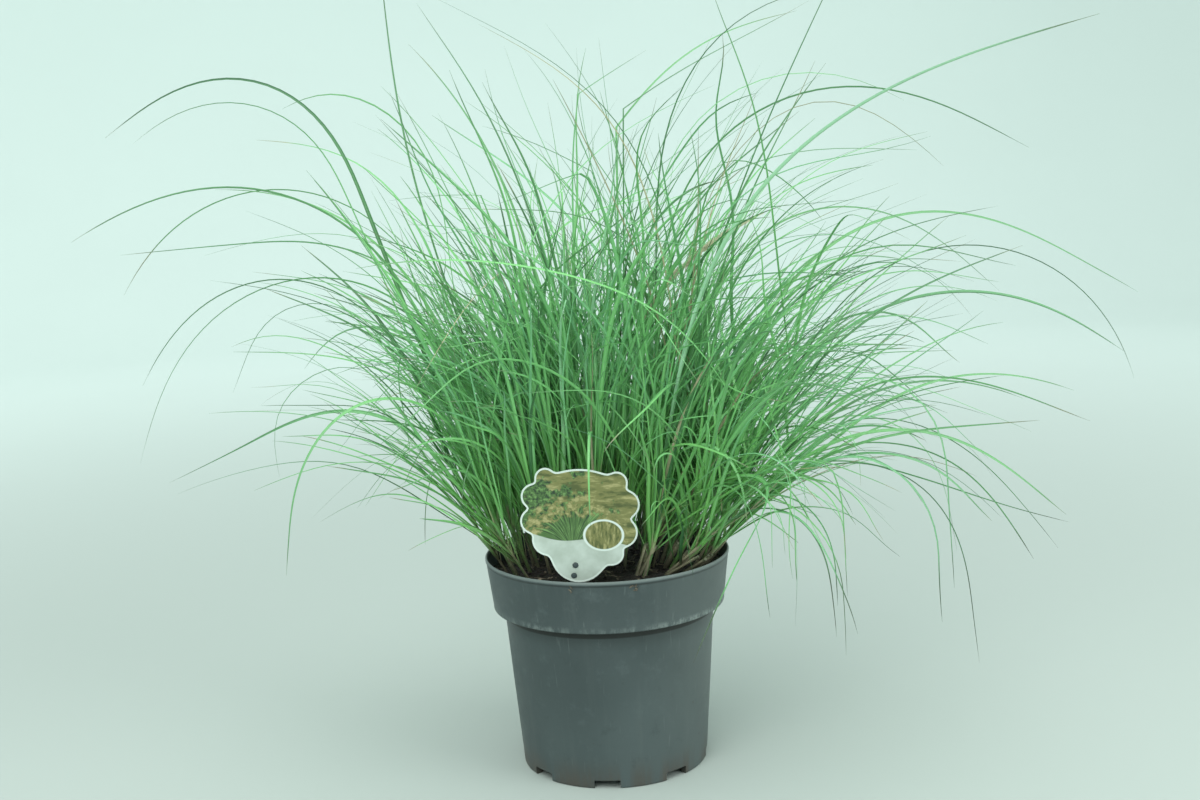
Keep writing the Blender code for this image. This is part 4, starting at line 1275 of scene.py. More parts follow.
@dataclass(frozen=True)
class Blade:
    """One blade: lean at its foot, droop added to it by the tip, and where along it the droop happens.

    Bend and spread are the middle and half width of the droop, as shares of the length. Curl turns the
    azimuth with the droop, and a kink is a sharp fold at a share of the length.
    """

    azimuth: float
    lean: float
    droop: float
    length: float
    bend: float
    spread: float
    curl: float = 0.0
    kink: float = 0.0
    kink_at: float = 0.6

    def turns(self) -> list[Spot]:
        """The azimuth and the lean of each short step along the blade."""
        turns = []
        for index in range(GRASS.path_steps):
            share = (index + 0.5) / GRASS.path_steps
            bent = ease((share - self.bend) / (2 * self.spread) + 0.5)
            lean = self.lean + self.droop * bent + (self.kink if share > self.kink_at else 0.0)
            turns.append((self.azimuth + self.curl * bent, max(1.0, min(lean, 178.0))))
        return turns

    def path(self, start: Vector) -> list[Vector]:
        """Points along the middle of the blade, from its foot to its tip."""
        points = [start.copy()]
        step = self.length / GRASS.path_steps
        for azimuth, lean in self.turns():
            points.append(points[-1] + direction(azimuth, lean) * step)
        return points

    def faceted(self, start: Vector) -> list[tuple[Vector, float]]:
        """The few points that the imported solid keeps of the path, with where each lies along it."""
        turns = self.turns()
        reached = [0.0]
        for (azimuth, lean), (next_azimuth, next_lean) in zip(turns, turns[1:] + turns[-1:]):
            turn = abs(next_lean - lean) + abs(next_azimuth - azimuth)
            reached.append(reached[-1] + turn + GRASS.straight_share / GRASS.path_steps)
        pieces = max(3, round(reached[-1] / GRASS.piece_turn))
        path = self.path(start)
        chosen = sorted({
            min(range(GRASS.path_steps + 1), key=lambda i: abs(reached[i] - reached[-1] * piece / pieces))
            for piece in range(pieces + 1)
        })
        return [(path[index], index / GRASS.path_steps) for index in chosen]


@dataclass(frozen=True)
class Shoot:
    """One shoot: where its sheath leaves the soil, which way it points, and the blades on it."""

    x: float
    y: float
    azimuth: float
    lean: float
    blades: tuple[Blade, ...] = ()

    def root(self) -> Vector:
        """Where the shoot leaves the soil."""
        return Vector((self.x, self.y, GRASS.soil_top))

    def way(self) -> Vector:
        """The way that its sheath points."""
        return direction(self.azimuth, self.lean)

    def foot(self, index: int) -> Vector:
        """Where blade number index leaves the sheath."""
        return self.root() + self.way() * GRASS.sheath * GRASS.feet[index % len(GRASS.feet)]

    def sheath_line(self) -> tuple[list[Vector], list[float]]:
        """The sheath's middle line and its half widths."""
        widths = [GRASS.half_width * GRASS.sheath_scale, GRASS.half_width * GRASS.sheath_top_scale]
        return [self.root() + self.way() * 0.008, self.root() + self.way() * GRASS.sheath], widths


@dataclass
class Room:
    """Keeps blades of different shoots apart, on a grid of the places that are taken."""

    cell_size: float = 0.008
    spacing: float = 0.003
    clearance: float = 0.0007
    pot_air: float = 0.001
    card_air: float = 0.003
    card_half_width: float = 0.054
    card_span: Spot = (-0.008, 0.101)
    soil_lump: float = 0.0030
    taken: dict[tuple[int, int, int], list[tuple[Any, Vector, float]]] = field(default_factory=dict)

    def samples(self, points: Sequence[Vector], widths: Sequence[float]) -> Iterator[tuple[Vector, float]]:
        """Places along a line of points, with the half width there."""
        for (start, end), (low, high) in zip(zip(points, points[1:]), zip(widths, widths[1:])):
            count = max(1, round((end - start).length / self.spacing))
            for index in range(count):
                share = index / count
                yield start.lerp(end, share), low + (high - low) * share

    def _cell(self, place: Vector) -> tuple[int, int, int]:
        """The grid's cell at a place."""
        column, row, level = (int(math.floor(value / self.cell_size)) for value in place)
        return column, row, level

    def is_clear_of_holders(self, place: Vector, width: float) -> bool:
        """Whether a blade of this half width may pass here, clear of the pot, the soil and the label."""
        air = width + self.pot_air
        radius = math.hypot(place.x, place.y)
        if place.z < GRASS.soil_top + self.soil_lump + width and radius < POT.rim_radius + air:
            return False
        if place.z < POT.height + width and POT.rim_radius - POT.wall - air < radius < POT.rim_radius + air:
            return False
        local = LABEL.frame().inverted() @ place
        low, high = self.card_span
        beside = abs(local.x) < self.card_half_width + width and low < local.y < high
        return not (beside and abs(local.z + LABEL.stake_thickness / 2) < self.card_air + width)

    def is_free(self, owner: Any, points: Sequence[Vector], widths: Sequence[float]) -> bool:
        """Whether a line of points stays clear of the other shoots, the pot, the soil and the label."""
        for place, width in self.samples(points, widths):
            if not self.is_clear_of_holders(place, width):
                return False
            column, row, level = self._cell(place)
            for step in range(27):
                key = (column + step % 3 - 1, row + step // 3 % 3 - 1, level + step // 9 - 1)
                for other, there, size in self.taken.get(key, ()):
                    near = width + size + self.clearance
                    if other != owner and (there - place).length_squared < near * near:
                        return False
        return True

    def take(self, owner: Any, points: Sequence[Vector], widths: Sequence[float]) -> None:
        """Marks a line of points as taken."""
        for place, width in self.samples(points, widths):
            self.taken.setdefault(self._cell(place), []).append((owner, place, width))


LEADING_SHOOTS: tuple[Shoot, ...] = (
    Shoot(-0.085, 0.008, 178, 20, (
        Blade(175, 18, 107, 0.570, 0.74, 0.25),
        Blade(190, 20, 110, 0.525, 0.80, 0.22),
    )),
    Shoot(-0.074, 0.022, 168, 18, (
        Blade(170, 13, 138, 0.555, 0.64, 0.46),
        Blade(165, 8, 84, 0.525, 0.44, 0.32),
    )),
    Shoot(-0.078, -0.020, 195, 22, (
        Blade(195, 14, 106, 0.505, 0.64, 0.42),
        Blade(200, 9, 152, 0.510, 0.57, 0.44),
    )),
    Shoot(-0.087, -0.006, 184, 30, (
        Blade(185, 18, 135, 0.430, 0.64, 0.42),
        Blade(180, 24, 92, 0.335, 0.42, 0.34),
    )),
    Shoot(-0.066, -0.038, 205, 30, (
        Blade(205, 14, 158, 0.340, 0.50, 0.42),
        Blade(200, 42, 36, 0.170, 0.50, 0.50),
        Blade(214, 46, 30, 0.100, 0.50, 0.50),
    )),
    Shoot(-0.060, 0.003, 180, 14, (
        Blade(180, 15, -13, 0.475, 0.70, 0.30),
        Blade(172, 20, 70, 0.430, 0.70, 0.40),
    )),
    Shoot(-0.020, 0.002, 150, 4, (
        Blade(20, 2, 12, 0.420, 0.80, 0.20, 0, 48, 0.84),
        Blade(150, 8, 40, 0.450, 0.70, 0.40),
    )),
    Shoot(0.012, 0.008, 25, 3, (
        Blade(25, 2, 35, 0.530, 0.80, 0.20, 0, 42, 0.60),
        Blade(18, 3, 5, 0.540, 0.80, 0.20, 0, 57, 0.65),
    )),
    Shoot(0.030, 0.000, 0, 8, (
        Blade(0, 5, 114, 0.600, 0.60, 0.36),
        Blade(-8, 15, 12, 0.500, 0.50, 0.50),
    )),
    Shoot(0.034, -0.022, -40, 12, (
        Blade(-40, 14, 65, 0.590, 0.51, 0.42),
        Blade(-22, 12, 163, 0.185, 0.55, 0.45, -40),
    )),
    Shoot(0.063, 0.008, 5, 16, (
        Blade(5, 3, 130, 0.485, 0.56, 0.40),
        Blade(-4, 22, 60, 0.400, 0.60, 0.40),
    )),
    Shoot(0.080, -0.010, -8, 30, (
        Blade(-10, 26, 148, 0.500, 0.67, 0.48),
        Blade(-5, 45, 106, 0.330, 0.50, 0.50),
    )),
    Shoot(0.083, 0.012, 10, 30, (
        Blade(10, 25, 98, 0.470, 0.50, 0.50),
        Blade(10, 50, 60, 0.350, 0.25, 0.25),
        Blade(0, 38, 104, 0.385, 0.45, 0.42),
    )),
    Shoot(0.074, 0.032, 15, 24, (
        Blade(15, 15, 105, 0.590, 0.47, 0.42),
        Blade(28, 24, 80, 0.420, 0.55, 0.40),
    )),
    Shoot(0.055, -0.036, -35, 46, (
        Blade(-32, 50, 125, 0.190, 0.42, 0.40),
        Blade(-25, 37, 146, 0.200, 0.50, 0.45),
    )),
    Shoot(0.074, -0.030, -20, 42, (
        Blade(-20, 46, 128, 0.330, 0.45, 0.42),
        Blade(-12, 40, 90, 0.330, 0.50, 0.45),
    )),
    Shoot(0.030, -0.046, -10, 18, (
        Blade(-15, 55, 95, 0.285, 0.42, 0.38, -145),
    )),
    Shoot(-0.008, -0.026, -92, 8, (
        Blade(-93, 5, 168, 0.180, 0.52, 0.34),
        Blade(-60, 10, 60, 0.380, 0.60, 0.40),
    )),
)


@dataclass(frozen=True)
class Stalk:
    """The old flowering stalk and its plume."""

    root: Spot = (0.004, 0.030)
    azimuth: float = 8.0
    lean: float = 5.0
    droop: float = 64.0
    length: float = 0.358
    half_width: float = 0.0014
    plume_share: float = 0.60
    plume_half_width: float = 0.0050

    def path(self) -> list[Vector]:
        """Points along the stalk from the soil to its tip."""
        return self.blade().path(Vector((*self.root, GRASS.soil_top)))

    def blade(self) -> Blade:
        """The stalk's line, held as a blade."""
        return Blade(self.azimuth, self.lean, self.droop, self.length, 0.66, 0.40)

    def width_at(self, share: float) -> float:
        """The stalk's half width along its length: thin, then a plume that swells and tapers."""
        if share < self.plume_share:
            return self.half_width
        along = (share - self.plume_share) / (1.0 - self.plume_share)
        swell = math.sin(math.pi * along) ** 0.7
        return self.half_width * (1.0 - 0.7 * along) + (self.plume_half_width - self.half_width) * swell


STALK = Stalk()


@dataclass
class Clump:
    """Where the shoots stand and how their blades run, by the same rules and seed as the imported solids."""

    centre: Spot = (0.000, 0.012)
    radii: Spot = (0.086, 0.070)
    fountain_y: float = 0.020
    places: int = 64
    root_spacing: float = 0.0128
    fill_shoots: int = 34
    blades_per_shoot: int = 3
    side_blades: int = 2
    side_place: float = 0.050
    left_share: float = 0.40
    bare_front: Point = (-0.066, 0.090, -0.028)
    middle_share: float = 0.45
    reach_x: float = 0.43
    reach_front: float = 0.36
    reach_back: float = 0.42
    reach_top: float = 0.635
    reach_low: float = 0.120
    room: Room = field(default_factory=Room)
    rng: random.Random = field(default_factory=lambda: random.Random(SEED))

    def _within_reach(self, points: Iterable[Vector]) -> bool:
        """Whether a blade stays inside the outline that the leading shoots give."""
        return all(
            abs(place.x) < self.reach_x and -self.reach_front < place.y < self.reach_back
            and self.reach_low < place.z < self.reach_top
            for place in points
        )

    def _settle(
        self, owner: int, shoot: Shoot, index: int, choices: Iterable[Blade], checks_reach: bool,
    ) -> Blade | None:
        """The first of the choices that has room, marked as taken, or None.

        Args:
            owner: The shoot's number.
            shoot: The shoot that the blade grows from.
            index: The blade's number on it.
            choices: Blades to try in turn.
            checks_reach: Whether the blade has to stay inside the clump's outline.

        Returns:
            The blade that fits, or None.
        """
        foot = shoot.foot(index)
        for blade in choices:
            line = blade.faceted(foot)
            points = [place for place, _ in line]
            widths = [GRASS.half_width * blade_scale(share) for _, share in line]
            if checks_reach and not self._within_reach(points):
                continue
            if self.room.is_free(owner, points, widths):
                self.room.take(owner, points, widths)
                return blade
        return None

    @staticmethod
    def _nudges(blade: Blade) -> Iterator[Blade]:
        """The blade, then ever larger turns and tilts of it."""
        yield blade
        for size in range(1, 7):
            for turn, tilt in ((2, 0), (-2, 0), (0, 1), (0, -1), (2, 1), (-2, -1)):
                yield replace(blade, azimuth=blade.azimuth + turn * size, lean=blade.lean + tilt * size)

    def _leading(self) -> list[Shoot]:
        """The leading shoots, each blade nudged until it has room."""
        settled = []
        for owner, shoot in enumerate(LEADING_SHOOTS):
            self.room.take(owner, *shoot.sheath_line())
        for owner, shoot in enumerate(LEADING_SHOOTS):
            blades = []
            for index, blade in enumerate(shoot.blades):
                placed = self._settle(owner, shoot, index, self._nudges(blade), False)
                if placed is not None:
                    blades.append(placed)
            settled.append(replace(shoot, blades=tuple(blades)))
        return settled

    def _spread(self, azimuth: float) -> float:
        """How far shoots and blades by rule lean this way: in full, and less the more it is to the left."""
        return 1.0 - (1.0 - self.left_share) * max(0.0, -math.cos(math.radians(azimuth)))

    def _side_choices(self, shoot: Shoot) -> Iterator[Blade]:
        """An endless run of low blades for a leading shoot at the side of the clump."""
        rng = self.rng
        share = self._spread(shoot.azimuth)
        while True:
            azimuth = shoot.azimuth + rng.gauss(0.0, 22.0)
            lean = share * rng.triangular(20.0, 60.0, 46.0)
            length = rng.triangular(0.20, 0.40, 0.30)
            yield Blade(azimuth, lean, rng.uniform(10.0, 75.0), length, rng.uniform(0.5, 0.75), 0.40)

    def _filling_choices(self, shoot: Shoot, outward: float) -> Iterator[Blade]:
        """An endless run of blades for a filling shoot: upright in the middle, low and arching outside."""
        rng = self.rng
        share = self._spread(shoot.azimuth)
        while True:
            azimuth = shoot.azimuth + rng.gauss(0.0, 34.0 - 16.0 * outward)
            lean = max(2.0, shoot.lean * rng.uniform(0.55, 1.30) + rng.gauss(0.0, 4.0))
            length = (0.7 + 0.3 * share) * rng.triangular(0.28, 0.55, 0.42) - 0.09 * outward
            droop = (0.5 + 0.5 * share) * rng.triangular(8.0, 105.0, 30.0 + 45.0 * outward)
            yield Blade(azimuth, lean, droop, length, rng.uniform(0.50, 0.76), rng.uniform(0.32, 0.48))

    def _grow(self, owner: int, shoot: Shoot, wanted: int, choices: Iterator[Blade]) -> Shoot:
        """The shoot with as many more blades as find room.

        Args:
            owner: The shoot's number.
            shoot: The shoot with the blades that it has.
            wanted: How many more are tried.
            choices: An endless run of blades to try.

        Returns:
            The fuller shoot.
        """
        blades = list(shoot.blades)
        first = len(blades)
        for index in range(first, first + wanted):
            tries = (next(choices) for _ in range(GRASS.tries))
            placed = self._settle(owner, shoot, index, tries, True)
            if placed is not None:
                blades.append(placed)
        return replace(shoot, blades=tuple(blades))

    def _sunflower(self) -> Iterator[Spot]:
        """Places over the clump's oval, evenly spread by the golden angle."""
        golden = math.pi * (3.0 - math.sqrt(5.0))
        for index in range(self.places):
            share = math.sqrt((index + 0.5) / self.places)
            angle = golden * index
            x = self.centre[0] + self.radii[0] * share * math.cos(angle)
            y = self.centre[1] + self.radii[1] * share * math.sin(angle)
            yield x, y

    def _filling(self, leading: Sequence[Shoot]) -> list[Shoot]:
        """Shoots that fill the clump, kept apart from each other and from the leading ones."""
        settled: list[Shoot] = []
        roots = [(shoot.x, shoot.y) for shoot in leading] + [STALK.root]
        low, high, front = self.bare_front
        for x, y in self._sunflower():
            if len(settled) == self.fill_shoots or (low < x < high and y < front):
                continue
            if min(math.dist((x, y), root) for root in roots) < self.root_spacing:
                continue
            outward = min(1.0, math.hypot(x / self.radii[0], (y - self.centre[1]) / self.radii[1]))
            azimuth = math.degrees(math.atan2(y - self.fountain_y, x)) + self.rng.gauss(0.0, 10.0)
            lean = 3.0 + 40.0 * self._spread(azimuth) * outward ** 1.6 + self.rng.gauss(0.0, 2.0)
            shoot = Shoot(x, y, azimuth, lean)
            owner = len(leading) + len(settled)
            points, widths = shoot.sheath_line()
            if not self.room.is_free(owner, points[:1], widths[:1]):
                continue
            self.room.take(owner, points, widths)
            wanted = self.blades_per_shoot - (outward < self.middle_share)
            shoot = self._grow(owner, shoot, wanted, self._filling_choices(shoot, outward))
            if not shoot.blades:
                continue
            roots.append((x, y))
            settled.append(shoot)
        return settled

    def shoots(self) -> list[Shoot]:
        """Every shoot of the clump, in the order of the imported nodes."""
        leading = self._leading()
        path = STALK.path()
        widths = [STALK.width_at(index / GRASS.path_steps) for index in range(GRASS.path_steps + 1)]
        self.room.take("stalk", path, widths)
        widened = []
        for owner, shoot in enumerate(leading):
            wanted = self.side_blades if abs(shoot.x) > self.side_place else 0
            widened.append(self._grow(owner, shoot, wanted, self._side_choices(shoot)))
        return widened + self._filling(widened)


def as_rows(points: Iterable[Vector]) -> np.ndarray:
    """Points as the rows of an array."""
    return np.array([tuple(point) for point in points])


def level_across(azimuths: np.ndarray) -> np.ndarray:
    """Level unit vectors square to these azimuths in degrees."""
    around = np.radians(azimuths)
    return np.stack([-np.sin(around), np.cos(around), np.zeros(len(azimuths))], axis=1)


class StripSet:
    """Leaves, sheaths and other long thin things, gathered as rings of points and made one mesh."""

    def __init__(self) -> None:
        """Starts empty."""
        self.points: list[np.ndarray] = []
        self.faces: list[list[int]] = []
        self.maps: list[np.ndarray] = []
        self.tones: list[np.ndarray] = []
        self.dries: list[np.ndarray] = []
        self.count = 0

    def add(
        self, path: np.ndarray, azimuths: Numbers, widths: np.ndarray, rolls: Numbers, section: Across,
        tone: float, dry: Numbers,
    ) -> None:
        """Adds one closed strip. Azimuths, rolls and dry are a number for each point, or one for all.

        Args:
            path: Points along its middle.
            azimuths: The way it points, in degrees, which its width is square to.
            widths: Half its width at each point.
            rolls: How far it is rolled about its path, in degrees.
            section: The shape of its section.
            tone: The number from 0 to 1 that its colour varies by.
            dry: How withered it is, from 0 to 1.
        """
        corners = np.array(section.value)
        steps, around = len(path), len(corners)
        tangents = np.gradient(path, axis=0)
        tangents /= np.linalg.norm(tangents, axis=1, keepdims=True)
        sides = level_across(np.broadcast_to(azimuths, steps))
        sides -= tangents * np.sum(sides * tangents, axis=1, keepdims=True)
        sides /= np.linalg.norm(sides, axis=1, keepdims=True)
        ups = np.cross(tangents, sides)
        turn = np.radians(np.broadcast_to(rolls, steps))[:, None]
        across = (np.cos(turn) * sides + np.sin(turn) * ups)[:, None, :]
        upward = (np.cos(turn) * ups - np.sin(turn) * sides)[:, None, :]
        offsets = corners[None, :, :1] * across + corners[None, :, 1:] * upward
        rings = path[:, None, :] + widths[:, None, None] * offsets
        index = self.count + np.arange(steps * around).reshape(steps, around)
        turned = np.roll(index, -1, axis=1)
        quads = np.stack([index[:-1], turned[:-1], turned[1:], index[1:]], axis=-1).reshape(-1, 4)
        self.faces += quads.tolist()
        self.faces.append(index[0][::-1].tolist())
        self.faces.append(index[-1].tolist())
        self.points.append(rings.reshape(-1, 3))
        along = np.repeat(np.linspace(0.0, 1.0, steps), around)
        self.maps.append(np.stack([np.tile((corners[:, 0] + 1.0) / 2.0, steps), along], axis=1))
        self.tones.append(np.full(steps * around, tone))
        self.dries.append(np.repeat(np.broadcast_to(dry, steps), around))
        self.count += steps * around

    def build(self, name: str, finish: bpy.types.Material) -> Piece:
        """Makes the mesh, with its UV map and its attributes.

        Args:
            name: The piece's name.
            finish: Its finish.

        Returns:
            The piece.
        """
        mesh = bpy.data.meshes.new(name)
        points = np.concatenate(self.points)
        mesh.from_pydata(points.tolist(), [], self.faces)
        corner_points = np.empty(len(mesh.loops), np.int32)
        mesh.loops.foreach_get("vertex_index", corner_points)
        places = np.concatenate(self.maps)[corner_points]
        mesh.uv_layers.new(name="strip").data.foreach_set("uv", places.ravel())
        for label, values in (("tone", self.tones), ("dry", self.dries)):
            kept = mesh.attributes.new(label, "FLOAT", "POINT")
            kept.data.foreach_set("value", np.concatenate(values).astype(np.float32))
        piece = bpy.data.objects.new(name, mesh)
        bpy.context.scene.collection.objects.link(piece)
        dress(piece, finish)
        smooth(piece, 58.0)
        return piece


@dataclass
class Foliage:
    """The shoots: a sheath with papery sleeves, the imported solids' blades, and finer leaves beside them."""

    companions: int = 18
    low_leaves: int = 15
    crossing_share: float = 0.24
    upright: float = 14.0
    left_share: float = 0.45
    blade_width: float = 0.00200
    fine_width: Spot = (0.0006, 0.0017)
    low_width: Spot = (0.0007, 0.0020)
    pale_leaf: tuple[int, int] = (10, 0)
    brown_sleeves: float = 0.35
    left_brown_sleeves: float = 0.75
    front_side: float = 0.02
    wander: float = 0.0040
    fine_wander: float = 0.0110
    inset: float = 0.0010
    far_beyond: float = 0.12
    pale_stoutness: float = 1.3
    tries_per_leaf: int = 8
    straw_shoot: int = 9
    straw_leaves: int = 3
    dead_share: float = 0.012
    rng: random.Random = field(default_factory=lambda: random.Random(SEED + 11))
    room: Room = field(default_factory=Room)

    def _widths(self, steps: int, half_width: float, fine: bool) -> np.ndarray:
        """A leaf's half widths along it: it widens from its foot, then runs out to a hair."""
        share = np.linspace(0.0, 1.0, steps)
        rise = 0.55 + 0.45 * np.clip(share / 0.22, 0.0, 1.0)
        held = 0.30 if fine else 0.38
        fall = 1.0 - 0.80 * np.clip((share - held) / (1.0 - held), 0.0, 1.0) ** (1.1 if fine else 1.3)
        end = np.clip((1.0 - share) / 0.05, 0.25, 1.0)
        return half_width * rise * fall * end

    def _add_leaf(
        self, strips: StripSet, start: Vector, blade: Blade, half_width: float,
        fine: bool = False, dead: bool = False, pale: bool = False,
    ) -> None:
        """Adds one leaf.

        Args:
            strips: The shoot's strips.
            start: The leaf's foot.
            blade: Its line.
            half_width: Half its greatest width.
            fine: Whether it is a thin one, drawn with fewer faces.
            dead: Whether it is withered all along.
            pale: Whether it has the palest tone of all.
        """
        rng = self.rng
        stride = 2 if fine else 1
        path = as_rows(blade.path(start))[::stride]
        turns = blade.turns()
        azimuths = np.array([azimuth for azimuth, _ in turns[:1] + turns])[::stride]
        steps = len(path)
        share = np.linspace(0.0, 1.0, steps)
        aside = level_across(azimuths)
        wander = (self.fine_wander if fine else self.wander) * blade.length / 0.4
        for way in (aside, np.array([0.0, 0.0, 0.6])):
            phase, waves = rng.uniform(0.0, math.tau), rng.uniform(0.7, 2.2)
            wave = np.sin(phase + waves * math.tau * share) - math.sin(phase)
            path = path + way * (rng.uniform(0.2, 1.0) * wander * share * wave)[:, None]
        low, high = np.array(CAD_BOX)
        path = np.clip(path, low + self.inset, high - self.inset)
        rolls = rng.gauss(0.0, 22.0) + rng.gauss(0.0, 55.0) * share
        tone = 1.0 if pale else rng.triangular(0.0, 0.95 if fine else 0.74, 0.46 if fine else 0.12)
        if dead:
            dry = rng.uniform(0.75, 1.0)
        else:
            foot = 0.85 * np.clip(1.0 - share / 0.15, 0.0, 1.0)
            tip = np.clip((share - rng.uniform(0.86, 0.97)) / 0.08, 0.0, 1.0) * rng.choice((0.2, 0.5, 0.9))
            dry = np.maximum(foot * rng.random(), tip)
        section = Across.THIN if fine else Across.BLADE
        strips.add(path, azimuths, self._widths(steps, half_width, fine), rolls, section, tone, dry)

    def _add_sheath(self, strips: StripSet, shoot: Shoot) -> None:
        """Adds the shoot's sheath and the papery sleeves that hug its foot."""
        rng = self.rng
        way = shoot.way()
        depth = GRASS.plant_depth * 0.9
        foot = shoot.root() - way * depth
        share = np.linspace(0.0, 1.0, 9)
        path = as_rows(foot + way * ((GRASS.sheath + depth) * part) for part in share)
        in_front, at_left = self._is_in_front(shoot, 1.0), self._is_in_front(shoot, -1.0)
        stout = rng.uniform(0.85, 1.05) if in_front else rng.uniform(0.55, 1.0)
        widths = GRASS.half_width * stout * (1.0 - 0.34 * share)
        dryness = 1.45 if in_front or at_left else 1.10
        dry = np.clip(dryness - 1.9 * share + rng.gauss(0.0, 0.20), 0.0, 1.0)
        tone = rng.uniform(0.2, 0.7)
        strips.add(path, shoot.azimuth, widths, rng.uniform(-30, 30), Across.STEM, tone, dry)
        brown_sleeves = self.left_brown_sleeves if at_left else self.brown_sleeves
        leaned = Matrix.Rotation(math.radians(shoot.lean), 3, direction(shoot.azimuth + 90.0, 90.0))
        for _ in range(rng.choice((1, 2, 2, 3))):
            reach = rng.uniform(0.024, 0.062)
            side = rng.uniform(0.0, 360.0)
            peel = rng.uniform(0.0, 14.0) if rng.random() < 0.75 else rng.uniform(14.0, 40.0)
            upright = Blade(side, 0.0, peel, reach, 0.8, 0.3).path(foot)[::6]
            off = leaned @ direction(side, 90.0) * (GRASS.half_width * stout * 0.38)
            path = as_rows(foot + leaned @ (point - foot) + off for point in upright)
            half_width = GRASS.half_width * stout * rng.uniform(0.75, 1.10)
            taper = 1.0 - 0.75 * np.linspace(0.0, 1.0, len(path)) ** 2
            dry = rng.uniform(0.55, 1.0) if rng.random() < brown_sleeves else rng.uniform(0.0, 0.30)
            strips.add(path, side, half_width * taper, 0.0, Across.SLEEVE, rng.random(), dry)

    def _is_in_front(self, shoot: Shoot, side: float) -> bool:
        """Whether a shoot stands at the front, on the right for a side of 1 and on the left for -1."""
        return shoot.x * side > self.front_side and shoot.y < 0.0

    def _add_stubs(self, strips: StripSet, shoot: Shoot) -> None:
        """Adds the cut dry stems of last year beside the sheath, most of them at the front right."""
        rng = self.rng
        in_front = self._is_in_front(shoot, 1.0)
        for _ in range(3 if in_front else rng.choice((0, 0, 1))):
            aside = direction(rng.uniform(0.0, 360.0), 90.0) * rng.uniform(0.005, 0.010)
            lean = min(58.0, shoot.lean + rng.gauss(8.0 if in_front else 2.0, 5.0))
            stub = Shoot(shoot.x + aside.x, shoot.y + aside.y, shoot.azimuth + rng.gauss(0.0, 12.0), lean)
            length = rng.uniform(0.026, 0.052)
            share = np.linspace(0.0, 1.0, 7)
            path = as_rows(stub.root() + stub.way() * (length * part - 0.004) for part in share)
            high = [Vector(point) for point in path if point[2] > 0.180]
            if not all(self.room.is_clear_of_holders(point, 0.002) for point in high):
                continue
            widths = rng.uniform(0.0013, 0.0022) * (1.0 - 0.25 * share) * (1.0 + 0.10 * np.sin(share * 9.0))
            strips.add(path, stub.azimuth, widths, 0.0, Across.STEM, rng.random(), rng.uniform(0.7, 1.0))

    def _companion(self, shoot: Shoot) -> tuple[Vector, Blade]:
        """A finer leaf that runs with one of the shoot's blades, and its foot."""
        rng = self.rng
        index = rng.randrange(len(shoot.blades))
        lead = shoot.blades[index]
        branch = rng.uniform(0.0, 0.26) if rng.random() < 0.6 else 0.0
        start = lead.path(shoot.foot(index))[round(branch * GRASS.path_steps)]
        if branch == 0.0:
            start = shoot.root() + shoot.way() * GRASS.sheath * rng.uniform(0.25, 1.0)
        azimuth, lean = lead.turns()[round(branch * (GRASS.path_steps - 1))]
        stray = 2.6 if rng.random() < 0.30 else 1.0
        if lean < self.upright and rng.random() < 0.5:
            azimuth = rng.uniform(0.0, 360.0)
        blade = Blade(
            azimuth + rng.gauss(0.0, 18.0 * stray), max(2.0, lean + rng.gauss(2.0, 5.0 * stray)),
            lead.droop * rng.uniform(0.65, 1.25), lead.length * (1.0 - branch) * rng.uniform(0.45, 0.92),
            rng.uniform(0.46, 0.72), rng.uniform(0.32, 0.46),
        )
        if rng.random() < self.crossing_share:
            blade = replace(
                blade, azimuth=azimuth + rng.uniform(100.0, 260.0), lean=rng.uniform(6.0, 34.0),
                droop=rng.uniform(10.0, 90.0), length=rng.uniform(0.20, 0.44),
            )
        if rng.random() < 0.08:
            blade = replace(blade, kink=rng.uniform(30.0, 80.0), kink_at=rng.uniform(0.45, 0.8))
        return start, blade

    def _low_leaf(self, shoot: Shoot) -> tuple[Vector, Blade]:
        """A short leaf from the shoot's sheath, which thickens the clump's foot, and its own foot."""
        rng = self.rng
        start = shoot.root() + shoot.way() * GRASS.sheath * rng.uniform(0.15, 1.0)
        lean = max(2.0, shoot.lean * rng.uniform(0.4, 1.3) + rng.gauss(4.0, 9.0))
        blade = Blade(
            shoot.azimuth + rng.gauss(0.0, 45.0), lean, rng.uniform(5.0, 70.0), rng.uniform(0.12, 0.31),
            rng.uniform(0.50, 0.75), 0.40,
        )
        return start, blade

    def _has_air(self, start: Vector, blade: Blade) -> bool:
        """Whether a fine leaf stays inside the model's box and clear of the pot, the soil and the label."""
        low, high = CAD_BOX
        for place in blade.path(start)[2::3]:
            inside = all(low[axis] + 0.004 < place[axis] < high[axis] - 0.004 for axis in range(3))
            beside_card = abs(place.x - LABEL.place[0]) < 0.05 and place.z < 0.285
            before_card = beside_card and place.y < LABEL.place[1]
            if not inside or before_card or not self.room.is_clear_of_holders(place, 0.001):
                return False
        return True

    def _add_fine_leaves(self, strips: StripSet, shoot: Shoot, straw: int) -> None:
        """Adds a shoot's companions, fewer of them the more it leans left, and then its low leaves.

        Args:
            strips: The shoot's strips.
            shoot: The shoot.
            straw: How many of the companions are dead straw whatever the draw says.
        """
        leftward = min(1.0, max(0.0, -2.0 * shoot.way().x))
        companions = round(self.companions * (1.0 - (1.0 - self.left_share) * leftward))
        for grow, wanted, width, dead_ones in (
            (self._companion, companions, self.fine_width, straw),
            (self._low_leaf, self.low_leaves, self.low_width, 0),
        ):
            added = 0
            for _ in range(self.tries_per_leaf * wanted):
                start, blade = grow(shoot)
                if added == wanted or not self._has_air(start, blade):
                    continue
                dead = self.rng.random() < self.dead_share or added < dead_ones
                self._add_leaf(strips, start, blade, self.rng.uniform(*width), fine=True, dead=dead)
                added += 1

